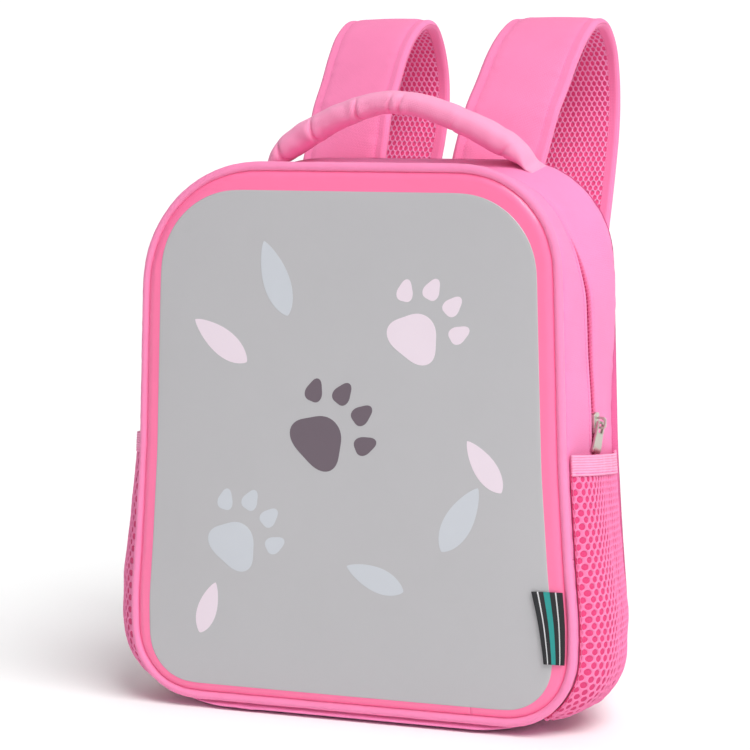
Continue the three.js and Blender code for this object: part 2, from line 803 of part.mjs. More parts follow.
function handleSection(station) {
  return Array.from({ length: handleSides }, (_, i) => {
    const angle = ((i + 0.5) * 2 * Math.PI) / handleSides;
    const across = Math.cos(angle);
    const deep = Math.sin(angle);
    return [
      (station.wide / 2) * Math.sign(across) * Math.abs(across) ** handleSquareness,
      (station.thick / 2) * Math.sign(deep) * Math.abs(deep) ** handleSquareness,
    ];
  });
}

const handleStations = [
  ...handleRows.map((row) => handleStation(row, -1)),
  ...handleRows.slice(0, -1).reverse().map((row) => handleStation(row, 1)),
];
addPiece('handle', sweptStrip(handleSection, handleStations), cloth);

// Label: a folded strip held in the piping's seam, lying over the print

function label() {
  const lift = printLift + printWall + clearance;
  const rows = 4;
  const rings = Array.from({ length: rows + 1 }, (_, i) => {
    const up = i / rows;
    const z = labelFoot + up * labelHeight;
    const edge = sideHalfWidth(z, () => panelEdge);
    const free = edge - labelWidth + labelLean * (1 - up);
    const corners = [edge, (edge + free) / 2, free].map((x) => new THREE.Vector2(x, z));
    const front = corners.map((p) => onDome(p, lift + labelWall));
    const back = [...corners].reverse().map((p) => onDome(p, lift));
    return [...front, ...back];
  });
  return ringBody(rings, { contour: rings[0].map((p) => new THREE.Vector2(p.x, p.y)) });
}

addPiece('side_label', label(), finish(colours.label, 0.7));

// Zip slider: a body on the coil and a bail arched over it, with the puller hung on the bail

function gussetSide(height) {
  return sideHalfWidth(height, (index) => gussetInset(zipPlace, index));
}

const sliderFace = gussetSide(sliderHeight) + sliderSeat;
const pivotOut = sliderFace + sliderThick + pivotStandOff;
// The puller leans back from its pivot to rest by the gusset, which leans outwards as it comes down.
const gussetSpread = gussetSide(sliderHeight - pullerLength) - gussetSide(sliderHeight);
const gussetLean = THREE.MathUtils.radToDeg(Math.atan2(gussetSpread, pullerLength));
const pullerLean = pullerRest - gussetLean;
const metal = finish(colours.metal, 0.3, 1);

// Laid out flat, with x outwards and y up, then pushed through its width.
function plate(shape, width) {
  const geometry = new THREE.ExtrudeGeometry(shape, { depth: width, bevelEnabled: false, curveSegments: 5 });
  geometry.translate(0, 0, -width / 2);
  geometry.rotateX(Math.PI / 2);
  return geometry;
}

function sliderShell() {
  const half = sliderLength / 2;
  const body = new THREE.Shape();
  body.moveTo(-sliderWidth / 2, half - sliderShoulder);
  body.quadraticCurveTo(-sliderWidth / 2, half, 0, half);
  body.quadraticCurveTo(sliderWidth / 2, half, sliderWidth / 2, half - sliderShoulder);
  body.lineTo(sliderTailWidth / 2, -half);
  body.lineTo(-sliderTailWidth / 2, -half);
  const shell = new THREE.ExtrudeGeometry(body, {
    depth: sliderThick - 2 * sliderBevel,
    bevelThickness: sliderBevel,
    bevelSize: sliderBevel,
    bevelSegments: 1,
    curveSegments: 4,
  });
  shell.translate(0, 0, sliderBevel);
  shell.rotateX(Math.PI / 2);
  shell.rotateZ(Math.PI / 2);
  return shell;
}

// Bail: a bent wire that stands in the slider's top face and leaves room for the puller's eye.
function bail() {
  const root = sliderThick - bailRoot;
  const outside = sliderThick + bailReach + bailWire;
  const inside = outside - bailWire;
  const tall = bailLength / 2;
  const innerTall = tall - bailWire;
  const arch = new THREE.Shape();
  arch.moveTo(root, -tall);
  arch.lineTo(outside - bailCorner, -tall);
  arch.quadraticCurveTo(outside, -tall, outside, -tall + bailCorner);
  arch.lineTo(outside, tall - bailCorner);
  arch.quadraticCurveTo(outside, tall, outside - bailCorner, tall);
  arch.lineTo(root, tall);
  arch.lineTo(root, innerTall);
  arch.lineTo(inside - bailInnerCorner, innerTall);
  arch.lineTo(inside, innerTall - bailInnerCorner);
  arch.lineTo(inside, -innerTall + bailInnerCorner);
  arch.lineTo(inside - bailInnerCorner, -innerTall);
  arch.lineTo(root, -innerTall);
  return plate(arch, bailWidth);
}

function slider() {
  return fromSolid(toSolid(sliderShell()).add(toSolid(bail())));
}

function puller() {
  const shape = new THREE.Shape();
  const top = pullerArm / 2;
  const tip = top - pullerLength;
  const waist = top - pullerEye - 2 * pullerArm;
  shape.moveTo(-pullerTopWidth / 2, top);
  const halfTip = pullerTipWidth / 2;
  shape.lineTo(-pullerTopWidth / 2, waist);
  shape.lineTo(-halfTip, tip + pullerCorner);
  shape.quadraticCurveTo(-halfTip, tip, -halfTip + pullerCorner, tip);
  shape.lineTo(halfTip - pullerCorner, tip);
  shape.quadraticCurveTo(halfTip, tip, halfTip, tip + pullerCorner);
  shape.lineTo(pullerTopWidth / 2, waist);
  shape.lineTo(pullerTopWidth / 2, top);
  const eye = new THREE.Path();
  const halfEye = pullerTopWidth / 2 - pullerArm;
  eye.moveTo(-halfEye, top - pullerArm);
  eye.lineTo(halfEye, top - pullerArm);
  eye.lineTo(halfEye, top - pullerArm - pullerEye);
  eye.lineTo(-halfEye, top - pullerArm - pullerEye);
  shape.holes.push(eye);
  const settings = { depth: pullerWall, bevelEnabled: false, curveSegments: 3 };
  const geometry = new THREE.ExtrudeGeometry(shape, settings);
  geometry.translate(0, 0, -pullerWall / 2);
  geometry.rotateX(Math.PI / 2);
  geometry.rotateZ(Math.PI / 2);
  return geometry;
}

const sliderAt = new THREE.Vector3(sliderFace, zipPlace, sliderHeight);
const pullerAt = new THREE.Vector3(pivotOut, zipPlace, sliderHeight);
const pullerAngles = [-pullerTilt, pullerLean, -pullerTwist].map(THREE.MathUtils.degToRad);

addPiece('zip_slider', slider(), metal, sliderAt);
addPiece('zip_puller', puller(), metal, pullerAt, new THREE.Euler(...pullerAngles));

export default backpack;
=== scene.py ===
# %% [markdown]
# A small child's backpack, dressed in cloth, net, film and metal round its packed construction.
# The construction fixes the size and the place of every piece. This file only makes the surfaces:
# each one is a formula of two parameters, worked out with numpy and handed to Blender as a mesh.
# Lengths below are millimetres, as on a maker's pattern, and become metres when a mesh is made.

# %% Load the construction
import math

import bmesh
import bpy
import numpy as np
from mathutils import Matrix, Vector


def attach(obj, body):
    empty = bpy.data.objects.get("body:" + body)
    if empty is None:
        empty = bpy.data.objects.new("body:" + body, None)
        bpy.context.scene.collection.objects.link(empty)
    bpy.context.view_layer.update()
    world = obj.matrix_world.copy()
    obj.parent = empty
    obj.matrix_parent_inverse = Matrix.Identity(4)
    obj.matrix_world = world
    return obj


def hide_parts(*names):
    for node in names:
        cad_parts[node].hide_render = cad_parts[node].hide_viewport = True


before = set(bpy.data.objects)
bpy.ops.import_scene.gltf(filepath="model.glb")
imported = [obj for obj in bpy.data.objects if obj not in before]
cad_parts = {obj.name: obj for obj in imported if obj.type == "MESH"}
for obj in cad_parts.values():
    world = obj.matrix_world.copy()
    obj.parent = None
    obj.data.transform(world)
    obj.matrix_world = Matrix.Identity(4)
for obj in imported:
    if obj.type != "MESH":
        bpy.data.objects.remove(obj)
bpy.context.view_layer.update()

MM = 0.001

# %% [markdown]
# The view comes first. The bag is seen from its right, turned 22 degrees, and from 6 degrees above,
# with a long lens that keeps its sides nearly parallel.

# %% Camera
VIEW_TURN = math.radians(22)
VIEW_DROP = math.radians(6)
VIEW_DISTANCE = 1550
VIEW_LENS = 129.6
VIEW_HEIGHT = 192
VIEW_SLIDE = -2

scene = bpy.context.scene
camera_data = bpy.data.cameras.new("camera")
camera_data.lens = VIEW_LENS
camera = bpy.data.objects.new("camera", camera_data)
scene.collection.objects.link(camera)
scene.camera = camera
right = np.array([math.cos(VIEW_TURN), math.sin(VIEW_TURN), 0])
back = np.array([
    math.sin(VIEW_TURN) * math.cos(VIEW_DROP),
    -math.cos(VIEW_TURN) * math.cos(VIEW_DROP),
    math.sin(VIEW_DROP),
])
looked_at = np.array([0, 0, VIEW_HEIGHT]) + right * VIEW_SLIDE
camera.location = (looked_at + back * VIEW_DISTANCE) * MM
camera.rotation_euler = (math.pi / 2 - VIEW_DROP, 0, VIEW_TURN)

# %% [markdown]
# Small numeric helpers. A table of a few rows is turned into a soft curve by averaging the straight
# lines between its rows over a short reach, which rounds the corners and keeps the rows readable.

# %% Soft curves
def smoothstep(value, low, high):
    """0 below low, 1 above high, and a cubic without corners between them."""
    t = np.clip((value - low) / (high - low), 0, 1)
    return t * t * (3 - 2 * t)


def soft_table(at, places, heights, reach):
    """The straight lines between a table's rows, averaged over a reach to both sides."""
    shares = np.linspace(-1, 1, 9)
    return np.mean([np.interp(at + share * reach, places, heights) for share in shares], axis=0)


def waves(place, lengths, seed):
    """The mean of sine waves of the given lengths, each shifted by a seeded amount."""
    shifts = np.random.default_rng(seed).uniform(0, 2 * np.pi, len(lengths))
    return np.mean([np.sin(2 * np.pi * place / length + shift)
                    for length, shift in zip(lengths, shifts)], axis=0)


def spline(points, count):
    """A smooth curve through points, at count even steps. Each piece is a cubic whose slopes at its
    two ends are the slopes between the neighbours there."""
    points = np.asarray(points, float)
    knots = np.concatenate([[0], np.cumsum(np.diff(lengths_along(points)) ** 0.5)])
    slopes = np.gradient(points, knots, axis=0)
    t = np.linspace(0, knots[-1], 8 * count)
    i = np.clip(np.searchsorted(knots, t, side="right") - 1, 0, len(points) - 2)
    width = (knots[i + 1] - knots[i])[:, None]
    u = (t - knots[i])[:, None] / width
    curve = ((1 + 2 * u) * (1 - u) ** 2 * points[i] + u * (1 - u) ** 2 * width * slopes[i]
             + u ** 2 * (3 - 2 * u) * points[i + 1] + u ** 2 * (u - 1) * width * slopes[i + 1])
    return even_steps(curve, count)


def even_steps(curve, count):
    """The same line walked in count equal steps."""
    run = lengths_along(curve)
    at = np.linspace(0, run[-1], count)
    return np.stack([np.interp(at, run, column) for column in curve.T], axis=1)


def lengths_along(rows):
    """How far along a line each row lies. Columns after the third don't count as place."""
    return np.concatenate([[0], np.cumsum(np.linalg.norm(np.diff(rows[:, :3], axis=0), axis=1))])


def unit(vectors):
    """The vectors at length one."""
    return vectors / np.maximum(np.linalg.norm(vectors, axis=-1, keepdims=True), 1e-12)


# %% [markdown]
# Grids become meshes here. A grid is an array of rows by columns of points, and its squares join
# each point to the next one of its row and of its column. Points that fall together at a seam or a
# pole are welded, so that a tube or a pad is closed, and the faces are turned to point outwards.

# %% Grids to meshes
WELD = 1e-5
BAG_MIDDLE = np.array([0, 0, 0.16])


def grid_faces(rows, cols):
    """The corner numbers of each square of a grid."""
    corner = (np.arange(rows - 1)[:, None] * cols + np.arange(cols - 1)).reshape(-1, 1)
    return corner + np.array([0, 1, cols + 1, cols])


def grid_uv(points):
    """A flat pattern of a grid in millimetres: the mean length along its columns and its rows."""
    across = np.concatenate([[0], np.cumsum(np.linalg.norm(np.diff(points, axis=1), axis=2).mean(0))])
    along = np.concatenate([[0], np.cumsum(np.linalg.norm(np.diff(points, axis=0), axis=2).mean(1))])
    return np.stack(np.broadcast_arrays(across[None, :], along[:, None]), axis=2)


def finish_mesh(name, points, faces, uv, materials, slots=None, closed=True):
    """A new object from points in millimetres, faces and a pattern in millimetres for each point."""
    mesh = bpy.data.meshes.new(name)
    mesh.from_pydata((np.asarray(points) * MM).tolist(), [], faces.tolist())
    if uv is not None:
        layer = mesh.uv_layers.new(name="pattern")
        layer.data.foreach_set("uv", (uv[faces.ravel()] * MM).ravel())
    if slots is not None:
        mesh.polygons.foreach_set("material_index", np.asarray(slots, np.int32))
    welded = bmesh.new()
    welded.from_mesh(mesh)
    bmesh.ops.remove_doubles(welded, verts=welded.verts, dist=WELD)
    bmesh.ops.dissolve_degenerate(welded, edges=welded.edges, dist=WELD / 2)
    open_edges = sum(1 for edge in welded.edges if edge.is_boundary)
    if closed:
        outwards = welded.calc_volume(signed=True) > 0
    else:
        middle = Vector(BAG_MIDDLE)
        outwards = sum(face.normal.dot(face.calc_center_median() - middle) * face.calc_area()
                       for face in welded.faces) > 0
    if not outwards:
        bmesh.ops.reverse_faces(welded, faces=welded.faces)
    welded.to_mesh(mesh)
    welded.free()
    mesh.polygons.foreach_set("use_smooth", np.ones(len(mesh.polygons), bool))
    for material in materials:
        mesh.materials.append(material)
    piece = bpy.data.objects.new(name, mesh)
    scene.collection.objects.link(piece)
    print(f"{name}: {len(mesh.polygons)} faces, {open_edges} open edges")
    return piece


def grid_piece(name, points, material, uv=None, slots=None, closed=True):
    """An object from one grid, or from a list of grids that share their edges."""
    grids = points if isinstance(points, list) else [points]
    patterns = uv if isinstance(uv, list) else [uv] * len(grids)
    patterns = [grid_uv(g) if p is None else p for g, p in zip(grids, patterns)]
    faces, start = [], 0
    for g in grids:
        faces.append(grid_faces(*g.shape[:2]) + start)
        start += g.shape[0] * g.shape[1]
    materials = material if isinstance(material, list) else [material]
    return finish_mesh(name, np.concatenate([g.reshape(-1, 3) for g in grids]),
                       np.concatenate(faces), np.concatenate([p.reshape(-1, 2) for p in patterns]),
                       materials, slots, closed)


def thicken(piece, wall, offset=-1.0):
    """Gives a sheet its thickness, inwards from its face unless the offset says otherwise."""
    solid = piece.modifiers.new("wall", "SOLIDIFY")
    solid.thickness = wall * MM
    solid.offset = offset
    solid.use_even_offset = False
    return piece


def settle(piece, body, slot_name, *nodes):
    """Rides on a body and stands for its nodes, which it hides. The slot name is not used."""
    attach(piece, body)
    if nodes:
        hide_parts(*nodes)
    return piece


# %% [markdown]
# Many small things, such as stitches and zip teeth, are copies of one little bar. All the copies
# are worked out in one array: the bar's points times each copy's three directions, plus its place.

# %% Small bars in rows
def pill(length, width, height, sides=6):
    """A rounded bar along its own x: four rings of an ellipse, narrow at both ends."""
    stations = np.array([-0.5, -0.36, 0.36, 0.5]) * length
    scales = np.array([0.45, 1, 1, 0.45])
    turn = np.arange(sides) * 2 * np.pi / sides
    ring = np.stack([np.cos(turn) * width / 2, np.sin(turn) * height / 2], axis=1)
    points = np.concatenate([
        np.column_stack([np.full(sides, x), ring * scale]) for x, scale in zip(stations, scales)])
    sides_of = np.arange(sides)
    quads = [np.stack([r * sides + sides_of, r * sides + (sides_of + 1) % sides,
                       (r + 1) * sides + (sides_of + 1) % sides, (r + 1) * sides + sides_of], axis=1)
             for r in range(3)]
    return points, np.concatenate(quads)[:, ::-1], sides


def scatter(name, bar, places, along, out, material):
    """Copies of a bar at places, its length turned along one direction and its top to another."""
    points, quads, sides = bar
    along = unit(along)
    across = unit(np.cross(out, along))
    out = np.cross(along, across)
    axes = np.stack([along, across, out], axis=1)
    copies = np.einsum("pi,kij->kpj", points, axes) + places[:, None, :]
    count = len(points)
    starts = np.arange(len(places))[:, None, None] * count
    faces = (quads[None] + starts).reshape(-1, 4).tolist()
    caps = np.stack([np.arange(sides), np.arange(sides) + 3 * sides])
    faces += (caps[None] + starts).reshape(-1, sides).tolist()
    mesh = bpy.data.meshes.new(name)
    mesh.from_pydata((copies.reshape(-1, 3) * MM).tolist(), [], faces)
    fixed = bmesh.new()
    fixed.from_mesh(mesh)
    bmesh.ops.recalc_face_normals(fixed, faces=fixed.faces)
    fixed.to_mesh(mesh)
    fixed.free()
    mesh.polygons.foreach_set("use_smooth", np.ones(len(mesh.polygons), bool))
    mesh.materials.append(material)
    piece = bpy.data.objects.new(name, mesh)
    scene.collection.objects.link(piece)
    print(f"{name}: {len(places)} bars, {len(mesh.polygons)} faces")
    return piece


def stitch_row(line, outs, pitch):
    """Places, directions and tops of stitches a pitch apart along a line of points."""
    run = lengths_along(line)
    at = np.arange(pitch / 2, run[-1], pitch)
    places = np.stack([np.interp(at, run, column) for column in line.T], axis=1)
    tops = unit(np.stack([np.interp(at, run, column) for column in outs.T], axis=1))
    steps = np.gradient(line, axis=0)
    along = unit(np.stack([np.interp(at, run, column) for column in steps.T], axis=1))
    return places, along, tops


# %% [markdown]
# Materials are small node trees. Cloth is a plain weave: the over and under of two threads, worked
# out from the piece's own flat pattern, gives a fine bump, and its tone, darker in the dips between
# the threads, is painted shade. A slow noise keeps large areas from looking printed. Sheen brightens
# it at grazing angles, as fibres do.

# %% Node helpers
def start_material(name):
    """An empty node tree with a principled shader, ready to be filled."""
    material = bpy.data.materials.new(name)
    material.use_nodes = True
    return material, material.node_tree.nodes["Principled BSDF"]


def add_node(tree, kind, **settings):
    """A node with its own settings, and values for its numbered or named inputs."""
    made = tree.nodes.new(kind)
    for key, value in settings.items():
        if key == "inputs":
            for socket, given in value.items():
                if isinstance(given, bpy.types.NodeSocket):
                    tree.links.new(given, made.inputs[socket])
                else:
                    made.inputs[socket].default_value = given
        else:
            setattr(made, key, value)
    return made


def maths(tree, operation, a, b=0.0):
    """One arithmetic step on two sockets or numbers."""
    return add_node(tree, "ShaderNodeMath", operation=operation, inputs={0: a, 1: b}).outputs[0]


def rgba(colour):
    """A colour of 0 to 255 on the screen, as the light that a shader wants."""
    c = np.array(colour) / 255
    return (*np.where(c <= 0.04045, c / 12.92, ((c + 0.055) / 1.055) ** 2.4), 1.0)


def place_of(tree, source):
    """The piece's flat pattern, or the place of each point on the object, in metres."""
    coordinates = add_node(tree, "ShaderNodeTexCoord")
    return coordinates.outputs["UV" if source == "pattern" else "Object"]


def slow_noise(tree, per_metre, detail=3.0):
    """A soft noise fixed to the object, about 0.5 with that many features in a metre."""
    return add_node(tree, "ShaderNodeTexNoise", inputs={
        "Vector": place_of(tree, "object"), "Scale": per_metre, "Detail": detail}).outputs["Fac"]


def weave_height(tree, pitch, source, turn=0.0):
    """Plain weave: where a chequer is light the weft lies over, elsewhere the warp, and each thread
    is half a sine across."""
    mapped = add_node(tree, "ShaderNodeMapping", inputs={
        "Vector": place_of(tree, source), "Rotation": (0, 0, turn),
        "Scale": (1000 / pitch,) * 3}).outputs[0]
    split = add_node(tree, "ShaderNodeSeparateXYZ", inputs={0: mapped})
    threads = []
    cells = []
    for socket in (split.outputs[0], split.outputs[1 if source == "pattern" else 2]):
        threads.append(maths(tree, "SINE", maths(tree, "MULTIPLY", maths(tree, "FRACT", socket), math.pi)))
        cells.append(maths(tree, "FLOOR", socket))
    chequer = maths(tree, "PINGPONG", maths(tree, "ADD", cells[0], cells[1]), 1.0)
    mixed = add_node(tree, "ShaderNodeMix", inputs={0: chequer, 2: threads[0], 3: threads[1]})
    return mixed.outputs[0]


def tone(tree, colour, shade, amount):
    """The colour, lighter and darker by the amount as the shade goes from 0 to 1."""
    dark = [c * (1 - amount) for c in rgba(colour)[:3]] + [1]
    light = [min(c * (1 + amount), 1) for c in rgba(colour)[:3]] + [1]
    return add_node(tree, "ShaderNodeMix", data_type="RGBA",
                    inputs={0: shade, 6: dark, 7: light}).outputs[2]


def bump(tree, height, depth_mm, strength=1.0):
    """A bump of that depth where the height is 1."""
    return add_node(tree, "ShaderNodeBump", inputs={
        "Height": height, "Distance": depth_mm * MM, "Strength": strength}).outputs[0]


# %% Cloth, film, plastic and metal
def cloth(name, colour, pitch=1.0, depth=0.13, source="pattern", turn=0.0, sheen=0.1, rough=0.78):
    """A plain woven polyester of that thread pitch, in millimetres."""
    material, shader = start_material(name)
    tree = material.node_tree
    weave = weave_height(tree, pitch, source, turn)
    mottle = slow_noise(tree, 45)
    # Painted shade: the tone is darker where the weave dips between threads; the slow noise adds tone that
    # differs at random.
    shade = maths(tree, "ADD", maths(tree, "MULTIPLY", weave, 0.45), maths(tree, "MULTIPLY", mottle, 0.55))
    tree.links.new(tone(tree, colour, shade, 0.085), shader.inputs["Base Color"])
    tree.links.new(bump(tree, weave, depth), shader.inputs["Normal"])
    shader.inputs["Roughness"].default_value = rough
    shader.inputs["Sheen Weight"].default_value = sheen
    shader.inputs["Sheen Roughness"].default_value = 0.45
    shader.inputs["Sheen Tint"].default_value = rgba((255, 214, 232))
    shader.inputs["Specular IOR Level"].default_value = 0.3
    return material


def film(name, colour, rough, coat, pebble=0.02):
    """A smooth coated sheet: a slow swell and a very fine pebble in the gloss."""
    material, shader = start_material(name)
    tree = material.node_tree
    swell = slow_noise(tree, 16, 2)
    grain = slow_noise(tree, 1400, 2)
    tree.links.new(tone(tree, colour, swell, 0.02), shader.inputs["Base Color"])
    height = maths(tree, "ADD", maths(tree, "MULTIPLY", swell, 6.0), grain)
    tree.links.new(bump(tree, height, pebble), shader.inputs["Normal"])
    shader.inputs["Roughness"].default_value = rough
    shader.inputs["Coat Weight"].default_value = coat
    shader.inputs["Coat Roughness"].default_value = 0.22
    return material


def plastic(name, colour, rough=0.35):
    """Moulded plastic with a faint spark-eroded grain."""
    material, shader = start_material(name)
    tree = material.node_tree
    grain = slow_noise(tree, 2600, 2)
    tree.links.new(tone(tree, colour, slow_noise(tree, 60), 0.04), shader.inputs["Base Color"])
    tree.links.new(bump(tree, grain, 0.03), shader.inputs["Normal"])
    shader.inputs["Roughness"].default_value = rough
    return material


def brushed_metal(name, colour):
    """Satin metal: fine scratches that run down the puller, and small worn patches."""
    material, shader = start_material(name)
    tree = material.node_tree
    stretched = add_node(tree, "ShaderNodeMapping", inputs={
        "Vector": place_of(tree, "object"), "Scale": (1, 1, 0.06)}).outputs[0]
    scratch = add_node(tree, "ShaderNodeTexNoise", inputs={
        "Vector": stretched, "Scale": 3500.0, "Detail": 3.0}).outputs["Fac"]
    wear = slow_noise(tree, 260, 3)
    tree.links.new(tone(tree, colour, wear, 0.12), shader.inputs["Base Color"])
    rough = maths(tree, "ADD", maths(tree, "MULTIPLY", scratch, 0.2), 0.2)
    tree.links.new(rough, shader.inputs["Roughness"])
    tree.links.new(bump(tree, scratch, 0.02), shader.inputs["Normal"])
    shader.inputs["Metallic"].default_value = 1.0
    return material


def ribbed(name, colour, pitch):
    """Elastic tape: ribs along it, each a sine across, with darker lines between them, which are painted
    shade in the grooves.
    """
    material, shader = start_material(name)
    tree = material.node_tree
    across = add_node(tree, "ShaderNodeSeparateXYZ", inputs={0: place_of(tree, "pattern")}).outputs[1]
    wave = maths(tree, "SINE", maths(tree, "MULTIPLY", across, math.pi * 1000 / pitch))
    rib = maths(tree, "ABSOLUTE", wave)
    # Painted shade: darker in the grooves between the ribs, plus a random mottle.
    shade = maths(tree, "MULTIPLY", maths(tree, "ADD", rib, slow_noise(tree, 300)), 0.6)
    tree.links.new(tone(tree, colour, shade, 0.16), shader.inputs["Base Color"])
    tree.links.new(bump(tree, rib, 0.2), shader.inputs["Normal"])
    shader.inputs["Roughness"].default_value = 0.7
    return material


PINK = (252, 134, 182)
GUSSET_PINK = (252, 140, 192)
HANDLE_PINK = (255, 161, 198)
PIPING_PINK = (250, 138, 184)
BAND_PINK = (252, 116, 164)
NET_PINK = (254, 136, 184)
# Painted shade: the backing's deeper pink stands partly for the shade inside the net's holes; the rest is
# its own colour.
BACKING_PINK_PAINTED_SHADE = (228, 70, 126)
# Painted light: the two lining colours are lighter copies of the backing and the net's yarn, making up for
# the shade on the straps' linings. The lining knit is still a deep pink, which is partly painted shade for
# the holes.
LINING_PINK_PAINTED_LIGHT_AND_SHADE = (244, 88, 146)
LINING_NET_PINK_PAINTED_LIGHT = (255, 160, 206)
ELASTIC_PINK = (254, 153, 190)
# Painted shade: the coil and the tape are darker than the cloth they match, standing for the shade in the
# zip's groove and between its loops.
COIL_PINK_PAINTED_SHADE = (232, 96, 150)
TAPE_PINK_PAINTED_SHADE = (206, 48, 112)
THREAD_PINK = (248, 132, 186)

outer_cloth = cloth("strap_cloth", PINK)
gusset_cloth = cloth("gusset_cloth", GUSSET_PINK)
handle_cloth = cloth("handle_cloth", HANDLE_PINK)
back_cloth = cloth("back_cloth", (246, 132, 186))
piping_cloth = cloth("piping_cloth", PIPING_PINK, pitch=0.5, depth=0.04, turn=math.pi / 4, rough=0.5)
elastic_cloth = ribbed("elastic_cloth", ELASTIC_PINK, 1.5)
webbing_cloth = cloth("webbing_cloth", (246, 134, 188), pitch=1.3, depth=0.2)
# The backing knit: deeper pink, partly painted shade for the net's holes.
backing_knit_painted_shade = cloth("backing_knit_painted_shade", BACKING_PINK_PAINTED_SHADE, pitch=0.8, depth=0.12, sheen=0.1)
# Lighter copy of the backing for the straps' linings: painted light against their shade, and still partly
# painted shade for the holes.
lining_knit_painted_light_and_shade = cloth("lining_knit_painted_light_and_shade", LINING_PINK_PAINTED_LIGHT_AND_SHADE, pitch=0.8, depth=0.12)
net_yarn = cloth("net_yarn", NET_PINK, pitch=0.45, depth=0.08, source="object")
# Painted light: a lighter copy of the net yarn for the straps' linings.
lining_yarn_painted_light = cloth("lining_yarn_painted_light", LINING_NET_PINK_PAINTED_LIGHT, pitch=0.45, depth=0.08, source="object")
# The zip tape's dark pink is painted shade between the coil's loops.
tape_cloth_painted_shade = cloth("zip_tape_cloth", TAPE_PINK_PAINTED_SHADE, pitch=0.5, depth=0.06)
thread = cloth("sewing_thread", THREAD_PINK, pitch=0.3, depth=0.03, source="object")
# The coil's darker pink is painted shade for the zip's groove.
coil_nylon_painted_shade = plastic("zip_coil_nylon", COIL_PINK_PAINTED_SHADE, 0.4)
adjuster_plastic = plastic("adjuster_plastic", (240, 118, 172), 0.35)
band_film = film("band_film", BAND_PINK, 0.38, 0.35)
print_film = film("print_film", (181, 179, 182), 0.42, 0.3)
satin_metal = brushed_metal("satin_metal", (205, 198, 188))

# %% [markdown]
# The bag's outline is the one line that everything else follows. It is a four-sided form with round
# corners whose sides swell a little towards the base. The straight parts and the arcs are walked at
# even steps and then averaged over a short reach, because sewn cloth has no sharp change of bend.

# %% Outline of the bag
BAG_HEIGHT = 315
BASE_LINE = 5
TOP_RADIUS_RIGHT = 58
TOP_RADIUS_LEFT = 73
BASE_RADIUS = 40
SIDE_ROWS = {
    "half_width": (75, 135.5, 135.5, 132.5, 129.75, 129, 124),
    "height": (BASE_LINE, BASE_LINE, 65, 100, 141, 153, BAG_HEIGHT),
    "radius": (0, BASE_RADIUS, 0, 0, 0, 0, TOP_RADIUS_RIGHT),
}
OUTLINE_STEPS = 900
OUTLINE_BLUR = 5.0


def rounded_outline(top_left_radius):
    """Points and outward directions round the bag, from its foot up the right side. Each corner of
    the polygon is cut back along both sides and joined by an arc of its radius."""
    right_side = np.column_stack([SIDE_ROWS["half_width"], SIDE_ROWS["height"]]).astype(float)
    corners = np.concatenate([right_side, right_side[::-1] * (-1, 1)])
    radii = list(SIDE_ROWS["radius"]) + list(SIDE_ROWS["radius"])[::-1]
    radii[len(right_side)] = top_left_radius
    line = []
    for i, (corner, radius) in enumerate(zip(corners, radii)):
        arriving = unit(corner - corners[i - 1])
        leaving = unit(corners[(i + 1) % len(corners)] - corner)
        if radius == 0:
            line.append(corner[None])
            continue
        turn = math.acos(float(arriving @ leaving))
        start = corner - arriving * radius * math.tan(turn / 2)
        inward = np.array([-arriving[1], arriving[0]])
        angle = np.linspace(0, turn, 40)[:, None]
        line.append(start + inward * radius * (1 - np.cos(angle)) + arriving * radius * np.sin(angle))
    closed = np.concatenate(line + [line[0]])
    even = even_steps(closed, OUTLINE_STEPS + 1)[:-1]
    step = lengths_along(even)[1]
    reach = np.arange(-30, 31)
    weights = np.exp(-0.5 * (reach * step / OUTLINE_BLUR) ** 2)
    soft = sum(w * np.roll(even, -k, axis=0) for k, w in zip(reach, weights / weights.sum()))
    ahead = unit(np.roll(soft, -1, axis=0) - np.roll(soft, 1, axis=0))
    return soft, np.column_stack([ahead[:, 1], -ahead[:, 0]])


rim, rim_out = rounded_outline(TOP_RADIUS_LEFT)
rim_run = lengths_along(np.concatenate([rim, rim[:1]]))
print("outline is", round(rim_run[-1]), "mm round, with width", round(np.ptp(rim[:, 0])))


def rim_at(run):
    """Points and outward directions at lengths along the outline, which may pass its start."""
    around = np.mod(run, rim_run[-1])
    closed = np.concatenate([rim, rim[:1]])
    closed_out = np.concatenate([rim_out, rim_out[:1]])
    points = np.column_stack([np.interp(around, rim_run, column) for column in closed.T])
    outs = unit(np.column_stack([np.interp(around, rim_run, column) for column in closed_out.T]))
    return points, outs


def run_at(height, side):
    """Length along the outline where the right (1) or left (-1) side passes a height."""
    on_side = np.where((rim[:, 0] * side > 100) & (rim[:, 1] > 50))[0]
    order = on_side[np.argsort(rim[on_side, 1])]
    return float(np.interp(height, rim[order, 1], rim_run[:-1][order]))


# %% [markdown]
# The gusset is the cloth wall round the bag. It stands a little proud of the outline on the sides,
# sinks between the seams over the top, is drawn in at the waist where the pockets' elastic pulls,
# and sags to the floor under the base. The table gives that for eight depths from the front seam.

